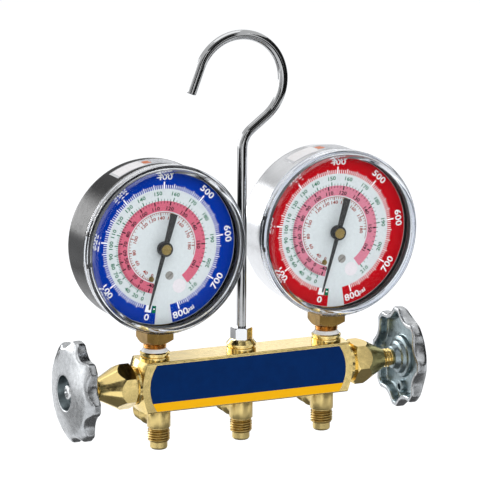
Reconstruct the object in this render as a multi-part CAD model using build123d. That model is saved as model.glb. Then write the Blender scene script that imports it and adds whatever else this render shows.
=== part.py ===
from build123d import *
import math
import os

# Two-valve refrigerant manifold gauge set, hanging from its hook. Millimetres.
# X runs along the bar to the right, Y to the back, Z up. Everything is modelled about the
# bar's own axis and moved at the end, so that the origin lies where the hook hangs.

# ---- bar ---------------------------------------------------------------------------------
bar_height = 25.4
bar_depth = 19.05
bar_corner_x = 54.2            # where the turned ends cut the bar's outer corners
bar_edge_round = 0.8
end_cone_length = 2.8          # axial length of the turned end face
neck_bead_width = 1.3
neck_groove_width = 1.5
neck_groove_depth = 1.0
port_pitch = 44.45             # from one hose port to the next
port_bore_r = 2.4

# ---- valve chambers ------------------------------------------------------------------------
seat_x = 36.0                  # sealing face of the valve seats, from the middle of the bar
seat_lip_height = 0.6
seat_lip_width = 1.0
passage_r = 2.5
chamber_r = 6.5
bonnet_thread_r = 7.0
bonnet_thread_length = 10.0
running_clearance = 0.05

# ---- hose ports and parking stubs: 1/4 inch flare, 7/16-20 thread ----------------------------
flare_thread_r = 5.556
flare_thread_length = 6.4
flare_nose_r = 4.35
flare_nose_length = 4.1
flare_tip_r = 3.1
flare_tip_length = 1.7
relief_width = 0.6
relief_depth = 0.55
collar_r = 5.8
collar_length = 9.5
spigot_r = 4.5
spigot_length = 4.0
stub_axis_drop = 5.2           # parking stub's axis below the bar's underside
stub_body_r = 5.8
stub_body_length = 12.0        # from the port's axis to the stub's relief groove
stub_neck_rise = 0.3           # neck's underside above the collar's end
stub_shoulder_length = 0.9
stub_flare_length = 1.4        # from the neck out to the shoulder
stub_thread_length = 7.0

# ---- bosses on top of the bar ------------------------------------------------------------------
gauge_x = 46.6                 # gauge sockets, from the middle of the bar
boss_r = 7.4
boss_height = 3.8
boss_groove_depth = 0.7
boss_groove_width = 0.6
hook_boss_height = 5.2
hook_boss_top_r = 5.8
pipe_thread_r = 5.15           # 1/8 inch pipe thread of the gauge socket
pipe_thread_engagement = 7.5
gauge_bore_r = 1.6
seal_height = 1.6
seal_base_r = 6.7
seal_top_r = 5.45

# ---- hook ------------------------------------------------------------------------------------------
hook_rod_r = 2.38
hook_rod_engagement = 9.0
hook_nut_flats = 9.5
hook_nut_height = 6.0
hook_nut_turn = -25.0
hook_nut_chamfer = 0.5
hook_centre_x = -1.3
hook_centre_z = 147.0
hook_bend_r = 22.9
hook_lean_angle = 37.2         # slope of the straight run below the bend, degrees
hook_lower_bend_r = 12.0
hook_tail_angle = 159.5        # where the bend ends, degrees from +X
hook_tail_length = 13.5

# ---- bonnets -----------------------------------------------------------------------------------------
bonnet_flats = 20.0
bonnet_length = 17.6
bonnet_cone_half_angle = 28.0
bonnet_tip_r = 5.1
bonnet_back_chamfer = 0.9
bonnet_turns = {"left": 0.0, "right": -23.0}
packing_inset = 8.0            # packing's outer end below the bonnet's tip
packing_width = 2.6
packing_wall = 2.2

# ---- stems, pistons and seals ----------------------------------------------------------------------------
stem_r = 4.7625                # 3/8 inch stem thread
stem_pitch = 1.5875            # travel in one turn
stem_exposed = 5.6             # thread seen between bonnet and wheel when the valve is shut
stem_pin_r = 2.4
stem_pin_length = 3.2
piston_r = 5.2
piston_length = 6.4
seat_gap = 0.08                # left between the shut seal and its seat
seal_disc_r = 4.2
seal_disc_thickness = 2.1
seal_disc_proud = 0.6
wheel_seat_r = 3.9
wheel_screw_r = 2.0
wheel_screw_length = 9.0
wheel_screw_head_r = 3.9
wheel_screw_head_height = 2.6

# ---- handwheels --------------------------------------------------------------------------------------------
wheel_r = 25.7                 # over the lobes
wheel_lobes = 8
wheel_lobe_depth = 3.5         # from the lobes' tops to the bottoms of the scallops
scallop_r = 9.3
lobe_round_r = 2.2
pocket_round_r = 1.2
wheel_rim_depth = 5.8
wheel_crown = 3.4              # how far the hub stands out from the rim
wheel_wall = 2.6
wheel_web = 2.4
wheel_edge_round = 1.0
wheel_recess_r = 9.2
wheel_recess_depth = 5.0
hub_reach = 2.4                # hub's inner end beyond the rim's inner plane
hub_r = 5.6
hub_step_r = 8.2
hub_step_height = 2.2
hub_ring_r = 10.6
hub_ring_height = 1.0
wheel_boss_r = 3.3
wheel_boss_radius = 16.0
wheel_boss_height = 1.0
wheel_turns = {"left": -7.2, "right": 0.8}

# ---- gauges: x right, y up, z towards the reader, from the middle of the dial -------------------------------
gauge_rise = 69.8              # dial's centre above the bar's axis
case_r = 40.7
case_wall = 1.0
case_back = 15.5               # back of the case behind the socket's axis
case_back_round = 5.0
case_lip = 14.0                # front lip of the case before the socket's axis
dial_gap = 1.1                 # round the dial, inside the case
dial_front = 8.3
dial_thickness = 0.6
crystal_wall = 1.0
crystal_overlap = 5.0
crystal_shoulder = 15.6
crystal_bevel_width = 2.4
crystal_bevel_front = 20.4
crystal_thickness = 2.0
crystal_dome = 1.0
gasket_width = 1.5
gasket_thickness = 1.4
socket_flats = 14.0
socket_base_rise = 21.0        # underside of the square block above the bar's axis
socket_chamfer_height = 1.9
socket_gap = 0.15
holder_width = 12.0
holder_front = 6.0
holder_top = -26.0
case_screw_r = 1.25
case_screw_head_r = 2.3
case_screw_head_height = 1.2
case_screw_spacing = 6.6
case_screw_inset = 8.2
case_screw_depth = 5.0
sticker_thickness = 0.12
sticker_start_angle = 72.0
sticker_end_angle = 121.0
sticker_front = 4.0
sticker_depth = 11.0

# ---- gauge movement ---------------------------------------------------------------------------------------------
gear_module = 0.4
pinion_teeth = 10
sector_full_teeth = 80
sector_spare_teeth = 2         # beyond each end of the sweep
tooth_share = 0.40             # tooth width at the pitch line, as a share of the pitch
gear_addendum = 0.8
gear_dedendum = 1.2
pinion_width = 3.0
sector_width = 1.6
sector_front = 3.0
arbor_r = 0.8
sector_arbor_r = 0.9
sector_arm_width = 4.4
sector_rim_width = 3.0
tail_length = 8.0
tail_angle = 169.75
tail_width = 3.2
link_thickness = 0.8
link_width = 2.6
link_gap = 0.1
link_pin_r = 0.6
tube_centre_r = 29.0
tube_radial = 4.0
tube_axial = 9.0
tube_start_angle = -84.0
tube_end_angle = 200.0
tube_middle_z = -3.0
tip_length = 5.0
lug_reach = 6.6
plate_thickness = 1.0
plate_width = 17.0
plate_top = 5.0
back_plate_front = -4.0
front_plate_front = 6.0
pillar_r = 1.5
pillar_inset = 2.6
dial_post_r = 1.5
dial_screw_x = 5.6
dial_screw_y = 15.2
dial_screw_head_r = 1.3
dial_screw_head_height = 0.5
dial_screw_r = 0.7
calibration_x = 4.0
calibration_y = -14.2
calibration_r = 2.1
calibration_depth = 1.6
hairspring_inner_r = 1.4
hairspring_pitch = 1.2
hairspring_turns = 3.0
hairspring_strip = 0.3
hairspring_height = 1.2
hairspring_front = -1.6

# ---- pointers ---------------------------------------------------------------------------------------------------------
pointer_rest_angle = 164.0     # how far the pointer rests anticlockwise from straight up
pointer_sweep_angle = 324.0
pointer_length = 30.5
pointer_tip_width = 0.7
pointer_root_width = 2.2
pointer_tail = 17.5
pointer_tail_root_width = 2.6
pointer_tail_width = 3.6
pointer_back = 10.2
pointer_thickness = 0.8
pointer_hub_r = 3.6
pointer_hub_height = 2.6
pointer_pin_r = 2.5
pointer_pin_height = 1.6

# ---- label on the front of the bar ------------------------------------------------------------------------------------------
label_half_length = 53.0
label_end_depth = 3.6          # how far the curved ends fall back at the corners
label_top = 11.25
label_bottom = -11.9
label_thickness = 0.2

# ---- sizes that follow ----------------------------------------------------------------------------------------------------------
half_height = bar_height / 2
half_depth = bar_depth / 2
corner_r = math.hypot(half_height, half_depth)
neck_r = half_depth
neck_start_x = bar_corner_x + end_cone_length
bonnet_seat_x = neck_start_x + neck_bead_width + neck_groove_width
bonnet_tip_x = bonnet_seat_x + bonnet_length
bonnet_inner_x = bonnet_seat_x - bonnet_thread_length
piston_inner_x = seat_x + seat_gap + seal_disc_proud
piston_outer_x = piston_inner_x + piston_length
stem_shoulder_x = piston_outer_x + running_clearance
wheel_inner_x = bonnet_tip_x + stem_exposed
rim_inner_x = wheel_inner_x + hub_reach
rim_outer_x = rim_inner_x + wheel_rim_depth
wheel_face_x = rim_outer_x + wheel_crown
recess_floor_x = wheel_face_x - wheel_recess_depth
stub_axis_z = -half_height - stub_axis_drop
boss_top_z = half_height + boss_height
hook_boss_top_z = half_height + hook_boss_height
hang_height = hook_centre_z + hook_bend_r - hook_rod_r
bar_below_dial = -gauge_rise
dial_r = case_r - case_wall - dial_gap
crystal_skirt_r = case_r + running_clearance + crystal_wall
crystal_bevel_r = crystal_skirt_r - crystal_bevel_width
case_screw_y = case_screw_inset - case_r
stub_neck_r = collar_length - stub_axis_drop - stub_neck_rise
pinion_pitch_r = gear_module * pinion_teeth / 2
sector_pitch_r = gear_module * sector_full_teeth / 2
sector_y = -(pinion_pitch_r + sector_pitch_r)
sector_sweep = pointer_sweep_angle * pinion_teeth / sector_full_teeth


def turned(*points):
    """Solid of revolution about Z from (radius, z) points."""
    return revolve(Plane.XZ * make_face(Polyline(*points, close=True)), axis=Axis.Z)


def rod(radius, start, end):
    """Cylinder along Z between two heights."""
    low, high = min(start, end), max(start, end)
    return Pos(0, 0, (low + high) / 2) * Cylinder(radius, high - low)


def along_bar(side):
    """Turns local Z to point outwards along the bar, on the left or the right."""
    return Rot(0, 90 if side == "right" else -90, 0)


def polar(radius, degrees):
    """Point at a radius and an angle from +X."""
    return radius * math.cos(math.radians(degrees)), radius * math.sin(math.radians(degrees))


# ---- bar and what is fixed to it ----------------------------------------------------------------------


def boss(height, top_r, bore_r, depth):
    """Turned boss on the bar's top face, with its beads and groove, and the hole for its bore."""
    groove_z = half_height + boss_height / 2
    groove_r = boss_r - boss_groove_depth
    top_z = half_height + height
    body = turned(
        (0, half_height - 1),
        (boss_r, half_height - 1),
        (boss_r, groove_z - boss_groove_width),
        (groove_r, groove_z - boss_groove_width / 2),
        (groove_r, groove_z + boss_groove_width / 2),
        (boss_r, groove_z + boss_groove_width),
        (boss_r, half_height + boss_height - boss_groove_width),
        (top_r, top_z),
        (0, top_z),
    )
    return body, rod(bore_r, top_z - depth, top_z + 1)


def valve_chamber():
    """Hollow of one valve, along Z from the middle of the bar outwards."""
    lip_r = passage_r + seat_lip_width
    bottom = seat_x - seat_lip_height
    chamber = rod(chamber_r, bottom, bonnet_inner_x)
    lip = rod(lip_r, bottom - 1, seat_x)
    return chamber - lip + rod(bonnet_thread_r, bonnet_inner_x, bonnet_seat_x + 1)


def manifold_bar():
    """Rectangular brass bar with turned ends, bosses, chambers and every bore."""
    stock = Box(2 * bonnet_seat_x, bar_depth, bar_height)
    stock = fillet(stock.edges().filter_by(Axis.X), bar_edge_round)
    groove_x = neck_start_x + neck_bead_width
    half_envelope = turned(
        (0, 0),
        (corner_r + 1, 0),
        (corner_r + 1, bar_corner_x - end_cone_length / (corner_r - neck_r)),
        (neck_r, neck_start_x),
        (neck_r, groove_x),
        (neck_r - neck_groove_depth, groove_x),
        (neck_r - neck_groove_depth, bonnet_seat_x),
        (0, bonnet_seat_x),
    )
    bar = stock & (along_bar("left") * half_envelope + along_bar("right") * half_envelope)
    socket_boss, socket_bore = boss(boss_height, seal_base_r, pipe_thread_r, pipe_thread_engagement)
    hook_boss, hook_bore = boss(hook_boss_height, hook_boss_top_r, hook_rod_r, hook_rod_engagement)
    gauge_bore = rod(gauge_bore_r, 0, boss_top_z)
    bar += hook_boss
    for x in (-gauge_x, gauge_x):
        bar += Pos(x, 0, 0) * socket_boss
    bar -= hook_bore
    for x in (-gauge_x, gauge_x):
        bar -= Pos(x, 0, 0) * (socket_bore + gauge_bore)
    port_bore = rod(port_bore_r, -half_height - 1, 0) + rod(spigot_r, -half_height - 1, -half_height + spigot_length)
    for x in (-port_pitch, 0, port_pitch):
        bar -= Pos(x, 0, 0) * port_bore
    for side in ("left", "right"):
        bar -= along_bar(side) * valve_chamber()
    return bar - along_bar("right") * rod(passage_r, -seat_x - 1, seat_x + 1)


def flare_end(start, body_r, thread_length):
    """Points of a flare end from its relief groove on, growing along -Z."""
    thread_start = start - relief_width
    thread_end = thread_start - thread_length
    nose_end = thread_end - flare_nose_length
    return [
        (body_r, start),
        (flare_thread_r - relief_depth, start),
        (flare_thread_r - relief_depth, thread_start),
        (flare_thread_r, thread_start),
        (flare_thread_r, thread_end),
        (flare_nose_r, thread_end),
        (flare_nose_r, nose_end + flare_tip_length),
        (flare_tip_r, nose_end),
    ]


def hose_port():
    """Hose port below the bar with the parking stub behind it, as one brass fitting."""
    top = -half_height + spigot_length
    collar_end = -half_height - collar_length
    outline = flare_end(collar_end, collar_r, flare_thread_length)
    shaft = turned((0, top), (spigot_r, top), (spigot_r, -half_height), (collar_r, -half_height),
                   *outline, (0, outline[-1][1]))
    stub_outline = flare_end(-stub_body_length, stub_body_r, stub_thread_length)
    shoulder = stub_shoulder_length - stub_body_length
    stub = turned((0, 0), (stub_neck_r, 0), (stub_neck_r, shoulder + stub_flare_length), (stub_body_r, shoulder),
                  *stub_outline, (0, stub_outline[-1][1]))
    fitting = shaft + Pos(0, 0, stub_axis_z) * Rot(90, 0, 0) * stub
    return fitting - rod(port_bore_r, top + 1, outline[-1][1] - 1)


def gauge_seal():
    """White sealing ring between a boss and the gauge socket."""
    return turned(
        (pipe_thread_r, boss_top_z),
        (seal_base_r, boss_top_z),
        (seal_top_r, boss_top_z + seal_height),
        (pipe_thread_r, boss_top_z + seal_height),
    )


def front_label():
    """Thin label on the bar's front face, with bowed ends."""
    corner_x = label_half_length - label_end_depth
    middle_z = (label_top + label_bottom) / 2
    outline = [
        Line((-corner_x, label_top), (corner_x, label_top)),
        ThreePointArc((corner_x, label_top), (label_half_length, middle_z), (corner_x, label_bottom)),
        Line((corner_x, label_bottom), (-corner_x, label_bottom)),
        ThreePointArc((-corner_x, label_bottom), (-label_half_length, middle_z), (-corner_x, label_top)),
    ]
    face = Plane.XZ * make_face(outline)
    return Pos(0, -half_depth, 0) * extrude(face, label_thickness)


# ---- hook -----------------------------------------------------------------------------------------------


def hook():
    """Bent round rod, from its threaded foot in the bar to the open tail."""
    foot_z = hook_boss_top_z - hook_rod_engagement
    rise = math.radians(hook_lean_angle)
    start_angle = hook_lean_angle - 90
    start = Vector(hook_centre_x, hook_centre_z) + Vector(*polar(hook_bend_r, start_angle))
    corner_z = start.Y - start.X * math.tan(rise)
    tangent = hook_lower_bend_r * math.tan(math.radians(90 - hook_lean_angle) / 2)
    bend_z = corner_z - tangent
    bend_end = (tangent * math.cos(rise), corner_z + tangent * math.sin(rise))
    end = Vector(hook_centre_x, hook_centre_z) + Vector(*polar(hook_bend_r, hook_tail_angle))
    tail = end + Vector(*polar(hook_tail_length, hook_tail_angle + 90))
    path = Wire([
        Line((0, foot_z), (0, bend_z)),
        CenterArc((hook_lower_bend_r, bend_z), hook_lower_bend_r, 180, start_angle),
        Line(bend_end, (start.X, start.Y)),
        CenterArc((hook_centre_x, hook_centre_z), hook_bend_r, start_angle, hook_tail_angle - start_angle),
        Line((end.X, end.Y), (tail.X, tail.Y)),
    ])
    return sweep(Pos(0, 0, foot_z) * Circle(hook_rod_r), path=Plane.XZ * path)


def hex_prism(flats, start, end):
    """Hexagonal prism along Z with two corners on the X axis."""
    return Pos(0, 0, start) * extrude(RegularPolygon(flats / 2, 6, major_radius=False), end - start)


def hook_lock_nut():
    """Hexagon nut that locks the hook rod on its boss."""
    start, end = hook_boss_top_z, hook_boss_top_z + hook_nut_height
    corner = hook_nut_flats / math.sqrt(3)
    crown = turned(
        (0, start),
        (corner - hook_nut_chamfer, start),
        (corner, start + hook_nut_chamfer),
        (corner, end - hook_nut_chamfer),
        (corner - hook_nut_chamfer, end),
        (0, end),
    )
    nut = Rot(0, 0, hook_nut_turn) * hex_prism(hook_nut_flats, start, end) & crown
    return nut - rod(hook_rod_r, start - 1, end + 1)


# ---- valves, along Z from the middle of the bar outwards ---------------------------------------------------


def packing_span():
    """Inner and outer end of the packing groove."""
    outer = bonnet_tip_x - packing_inset
    return outer - packing_width, outer


def bonnet():
    """Packing nut: hexagon run out into a long cone, with its thread inside the bar."""
    corner = bonnet_flats / math.sqrt(3)
    slope = math.tan(math.radians(bonnet_cone_half_angle))
    wide_r = corner + 1
    cone_start = bonnet_tip_x - (wide_r - bonnet_tip_r) / slope
    envelope = turned(
        (0, bonnet_seat_x),
        (corner - 1.5 * bonnet_back_chamfer, bonnet_seat_x),
        (corner, bonnet_seat_x + bonnet_back_chamfer),
        (wide_r, bonnet_seat_x + bonnet_back_chamfer),
        (wide_r, cone_start),
        (bonnet_tip_r, bonnet_tip_x),
        (0, bonnet_tip_x),
    )
    body = hex_prism(bonnet_flats, bonnet_seat_x, bonnet_tip_x) & envelope
    body += rod(bonnet_thread_r, bonnet_inner_x, bonnet_seat_x)
    body -= rod(stem_r + running_clearance, bonnet_inner_x - 1, bonnet_tip_x + 1)
    start, end = packing_span()
    return body - rod(stem_r + packing_wall, start, end)


def packing():
    """Packing ring round the stem, in the bonnet's groove."""
    start, end = packing_span()
    return rod(stem_r + packing_wall, start, end) - rod(stem_r + running_clearance, start - 1, end + 1)


def stem():
    """Threaded stem with the piston's pin inside and the wheel's seat outside."""
    screw_end = recess_floor_x - wheel_screw_length
    body = turned(
        (0, stem_shoulder_x - stem_pin_length),
        (stem_pin_r, stem_shoulder_x - stem_pin_length),
        (stem_pin_r, stem_shoulder_x),
        (stem_r, stem_shoulder_x),
        (stem_r, wheel_inner_x),
        (wheel_seat_r, wheel_inner_x),
        (wheel_seat_r, recess_floor_x),
        (0, recess_floor_x),
    )
    return body - rod(wheel_screw_r, screw_end, recess_floor_x + 1)


def piston():
    """Valve piston, bored for the stem's pin and recessed for its seal."""
    seal_pocket = seal_disc_thickness - seal_disc_proud
    body = rod(piston_r, piston_inner_x, piston_outer_x)
    body -= rod(seal_disc_r, piston_inner_x - 1, piston_inner_x + seal_pocket)
    pin_hole_start = piston_outer_x - stem_pin_length - running_clearance
    return body - rod(stem_pin_r + running_clearance, pin_hole_start, piston_outer_x + 1)


def seat_seal():
    """Soft disc in the piston's nose."""
    start = piston_inner_x - seal_disc_proud
    return rod(seal_disc_r, start, start + seal_disc_thickness)


def lobed_face(inset):
    """Outline of the handwheel, drawn in by an inset: a disc with scallops between its lobes."""
    disc = Circle(wheel_r - inset)
    scallop_centre = wheel_r - wheel_lobe_depth + scallop_r
    for index in range(wheel_lobes):
        angle = (index + 0.5) * 360 / wheel_lobes
        disc -= Pos(*polar(scallop_centre, angle)) * Circle(scallop_r + inset)
    return fillet(disc.vertices(), pocket_round_r if inset else lobe_round_r)


def handwheel():
    """Cast wheel: domed outside, hollow inside, lobed rim, stepped hub and nut recess."""
    blank = Pos(0, 0, rim_inner_x) * extrude(lobed_face(0), wheel_face_x - rim_inner_x)
    dome = turned(
        (0, rim_inner_x),
        (wheel_r + 1, rim_inner_x),
        (wheel_r + 1, rim_outer_x - wheel_edge_round),
        (wheel_r - wheel_edge_round, rim_outer_x),
        (wheel_recess_r + 1, wheel_face_x),
        (0, wheel_face_x),
    )
    pocket_floor = rim_outer_x - wheel_web
    pocket = Pos(0, 0, rim_inner_x - 1) * extrude(lobed_face(wheel_wall), pocket_floor - rim_inner_x + 1)
    hub = turned(
        (0, wheel_inner_x),
        (hub_r, wheel_inner_x),
        (hub_r + 0.6, rim_inner_x + 0.4),
        (hub_step_r, rim_inner_x + 0.4),
        (hub_step_r, pocket_floor - hub_ring_height),
        (hub_ring_r, pocket_floor - hub_ring_height),
        (hub_ring_r, pocket_floor),
        (0, pocket_floor),
    )
    small_boss = rod(wheel_boss_r, pocket_floor - wheel_boss_height, pocket_floor)
    small_boss -= rod(wheel_boss_r / 2, pocket_floor - wheel_boss_height - 1, pocket_floor)
    wheel = (blank & dome) - pocket + hub + Pos(wheel_boss_radius, 0, 0) * small_boss
    wheel -= rod(wheel_recess_r, recess_floor_x, wheel_face_x + 1)
    return wheel - rod(wheel_seat_r, wheel_inner_x - 1, recess_floor_x + 1)


def wheel_screw():
    """Screw that clamps the wheel on the stem."""
    head_top = recess_floor_x + wheel_screw_head_height
    crown_r = wheel_screw_head_r * 0.7
    return turned(
        (0, recess_floor_x - wheel_screw_length),
        (wheel_screw_r, recess_floor_x - wheel_screw_length),
        (wheel_screw_r, recess_floor_x),
        (wheel_screw_head_r, recess_floor_x),
        (wheel_screw_head_r, head_top - wheel_screw_head_height / 2),
        (crown_r, head_top),
        (0, head_top),
    )


# ---- gauge shell, in the gauge's own axes --------------------------------------------------------------------


def holder_block():
    """Part of the socket inside the case, which carries the tube and the movement."""
    front = holder_front
    back = -case_back + case_wall
    bottom = -case_r - socket_gap
    size = (holder_width, holder_top - bottom, front - back)
    return Pos(0, (holder_top + bottom) / 2, (front + back) / 2) * Box(*size)


def case_screw_places():
    """Axes of the screws that hold the case on the socket."""
    return [Pos(x, case_screw_y, 0) for x in (-case_screw_spacing / 2, case_screw_spacing / 2)]


def gauge_case():
    """Drawn round case with a rounded back edge and a slot for the socket."""
    r = case_r - case_back_round
    bend_z = -case_back + case_back_round
    outer = [
        Line((0, -case_back), (r, -case_back)),
        CenterArc((r, bend_z), case_back_round, -90, 90),
        Line((case_r, bend_z), (case_r, case_lip)),
        Line((case_r, case_lip), (case_r - case_wall, case_lip)),
        Line((case_r - case_wall, case_lip), (case_r - case_wall, bend_z)),
        Line((case_r - case_wall, bend_z), (r, -case_back + case_wall)),
        Line((r, -case_back + case_wall), (0, -case_back + case_wall)),
        Line((0, -case_back + case_wall), (0, -case_back)),
    ]
    shell = revolve(Plane.XZ * make_face(outer), axis=Axis.Z)
    shell -= holder_block()
    for place in case_screw_places():
        shell -= place * rod(case_screw_r, -case_back - 1, -case_back + case_wall + 1)
    return shell


def crystal():
    """Clear domed window with a bevelled rim and a skirt over the case's lip."""
    skirt_in = case_r + running_clearance
    lip_z = case_lip + running_clearance
    inner_r = crystal_bevel_r - crystal_thickness
    inner_z = crystal_bevel_front - crystal_thickness
    return turned(
        (skirt_in, case_lip - crystal_overlap),
        (crystal_skirt_r, case_lip - crystal_overlap),
        (crystal_skirt_r, crystal_shoulder),
        (crystal_bevel_r, crystal_bevel_front),
        (crystal_bevel_r * 0.55, crystal_bevel_front + crystal_dome * 0.72),
        (0, crystal_bevel_front + crystal_dome),
        (0, inner_z + crystal_dome),
        (inner_r * 0.55, inner_z + crystal_dome * 0.72),
        (inner_r, inner_z),
        (inner_r + 1, lip_z),
        (skirt_in, lip_z),
    )


def crystal_gasket():
    """Ring inside the case's lip, under the crystal's rim."""
    outer_r = case_r - case_wall
    return rod(outer_r, case_lip - gasket_thickness, case_lip) - rod(
        outer_r - gasket_width, case_lip - gasket_thickness - 1, case_lip + 1)


def gauge_socket():
    """Brass socket: pipe thread, square block and the holder inside the case."""
    base_y = bar_below_dial + socket_base_rise
    top_y = -case_r - socket_gap
    bottom_y = bar_below_dial + boss_top_z - pipe_thread_engagement
    corner = socket_flats / math.sqrt(2)
    block = extrude(Pos(0, 0, base_y) * Rectangle(socket_flats, socket_flats), top_y - base_y)
    block &= turned(
        (0, base_y),
        (socket_flats / 2, base_y),
        (corner, base_y + socket_chamfer_height),
        (corner, top_y),
        (0, top_y),
    )
    block += rod(pipe_thread_r, bottom_y, base_y)
    bore = rod(gauge_bore_r, bottom_y - 1, holder_top - tube_radial)
    upright = Rot(-90, 0, 0)
    socket = upright * block + holder_block() - upright * bore
    for place in case_screw_places():
        socket -= place * rod(case_screw_r, -case_back, -case_back + case_screw_depth)
    return socket


def case_screws():
    """Pan-head screws through the case's back into the socket."""
    head_z = -case_back - case_screw_head_height
    screw = rod(case_screw_head_r, head_z, -case_back) + rod(case_screw_r, -case_back, -case_back + case_screw_depth)
    return [place * screw for place in case_screw_places()]


def case_sticker():
    """Thin sticker bent round the top of the case."""
    band = rod(case_r + sticker_thickness, sticker_front - sticker_depth, sticker_front)
    band -= rod(case_r, sticker_front - sticker_depth - 1, sticker_front + 1)
    reach = 2 * case_r
    wedge = Polyline((0, 0), polar(reach, sticker_start_angle), polar(reach, (sticker_start_angle + sticker_end_angle) / 2),
                     polar(reach, sticker_end_angle), close=True)
    return band & Pos(0, 0, sticker_front - sticker_depth) * extrude(make_face(wedge), sticker_depth)


# ---- dial and movement --------------------------------------------------------------------------------------------


def dial_screw_places():
    """Axes of the two dial screws, above and below the arbor."""
    return [Pos(side * dial_screw_x, side * dial_screw_y, 0) for side in (-1, 1)]


def dial():
    """Printed dial plate with its arbor hole, screw holes and calibration hole."""
    back = dial_front - dial_thickness
    plate = rod(dial_r, back, dial_front) - rod(arbor_r * 2, back - 1, dial_front + 1)
    for place in dial_screw_places():
        plate -= place * rod(dial_screw_r, back - 1, dial_front + 1)
    return plate - Pos(calibration_x, calibration_y, 0) * rod(calibration_r, back - 1, dial_front + 1)


def dial_screws():
    """Screws that hold the dial on the movement's posts."""
    screw = rod(dial_screw_head_r, dial_front, dial_front + dial_screw_head_height)
    screw += rod(dial_screw_r, front_plate_front, dial_front)
    return [place * screw for place in dial_screw_places()]


def calibration_screw():
    """Adjusting screw seen through the dial."""
    top = dial_front + 0.2
    screw = rod(calibration_r, top - calibration_depth, top)
    slot = Pos(0, 0, top) * Box(calibration_r * 2, 0.6, 0.8)
    return Pos(calibration_x, calibration_y, 0) * Rot(0, 0, 35) * (screw - slot)


def gear_face(teeth, full_teeth, first_angle, rim_width):
    """Flat outline of gear teeth on a rim, from a first tooth's angle, going clockwise."""
    pitch_r = gear_module * full_teeth / 2
    outer_r = pitch_r + gear_addendum * gear_module
    root_r = pitch_r - gear_dedendum * gear_module
    pitch_angle = 360 / full_teeth
    half_tooth = pitch_angle * tooth_share / 2
    tip_half = half_tooth * 0.5
    root_half = half_tooth * 1.5
    points = []
    for index in range(teeth):
        middle = first_angle - index * pitch_angle
        points += [polar(root_r, middle + root_half), polar(outer_r, middle + tip_half),
                   polar(outer_r, middle - tip_half), polar(root_r, middle - root_half)]
    if teeth == full_teeth:
        return make_face(Polyline(*points, close=True))
    last_angle = first_angle - (teeth - 1) * pitch_angle
    inner_r = root_r - rim_width
    inner = [polar(inner_r, last_angle - root_half + step * (first_angle - last_angle + 2 * root_half) / 4)
             for step in range(5)]
    return make_face(Polyline(*points, *inner, close=True))


def pinion_arbor():
    """Arbor with its pinion, which carries the pointer."""
    middle = sector_front - sector_width / 2
    pinion = extrude(gear_face(pinion_teeth, pinion_teeth, -90 + 180 / pinion_teeth, 0), pinion_width)
    arbor = rod(arbor_r, back_plate_front - plate_thickness, pointer_back + pointer_hub_height)
    return Pos(0, 0, middle - pinion_width / 2) * pinion + arbor


def bar_face(start, end, width):
    """Straight strip with round ends between two points."""
    dx, dy = end[0] - start[0], end[1] - start[1]
    length = math.hypot(dx, dy)
    turn = math.degrees(math.atan2(dy, dx))
    middle = Pos((start[0] + end[0]) / 2, (start[1] + end[1]) / 2)
    return middle * Rot(0, 0, turn) * SlotCenterToCenter(length, width)


def sector_gear():
    """Toothed sector with its arbor, tail and link pin, about the sector's own pivot."""
    pitch_angle = 360 / sector_full_teeth
    swept = math.ceil(sector_sweep / pitch_angle)
    teeth = swept + 2 * sector_spare_teeth + 1
    first = 90 + sector_spare_teeth * pitch_angle
    middle_angle = 90 - sector_sweep / 2
    rim = gear_face(teeth, sector_full_teeth, first, sector_rim_width)
    arm = bar_face((0, 0), polar(sector_pitch_r - sector_rim_width, middle_angle), sector_arm_width)
    tail = bar_face((0, 0), polar(tail_length, tail_angle), tail_width)
    back = sector_front - sector_width
    plate = Pos(0, 0, back) * extrude(rim + arm + tail + Circle(sector_arm_width * 0.7), sector_width)
    arbor = rod(sector_arbor_r, back_plate_front - plate_thickness, front_plate_front)
    pin_end = sector_front + link_gap + link_thickness + link_gap
    pin = Pos(*polar(tail_length, tail_angle)) * rod(link_pin_r, back, pin_end)
    return Pos(0, sector_y, 0) * (plate + arbor + pin)


def link_ends():
    """Pivots of the link: on the sector's tail and beside the tube's lug."""
    x, y = polar(tail_length, tail_angle)
    return (x, y + sector_y), lug_end()


def lug_end():
    """Outer pivot of the link, where the tube's lug ends."""
    tip = Vector(*polar(tube_centre_r, tube_end_angle))
    inward = Vector(*polar(lug_reach, tube_end_angle + 180 + 25))
    return (tip + inward).X, (tip + inward).Y


def link():
    """Flat link between the sector's tail and the tube."""
    start, end = link_ends()
    strip = bar_face(start, end, link_width)
    strip -= Pos(*start) * Circle(link_pin_r + running_clearance)
    strip -= Pos(*end) * Circle(link_pin_r + running_clearance)
    return Pos(0, 0, sector_front + link_gap) * extrude(strip, link_thickness)


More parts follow.
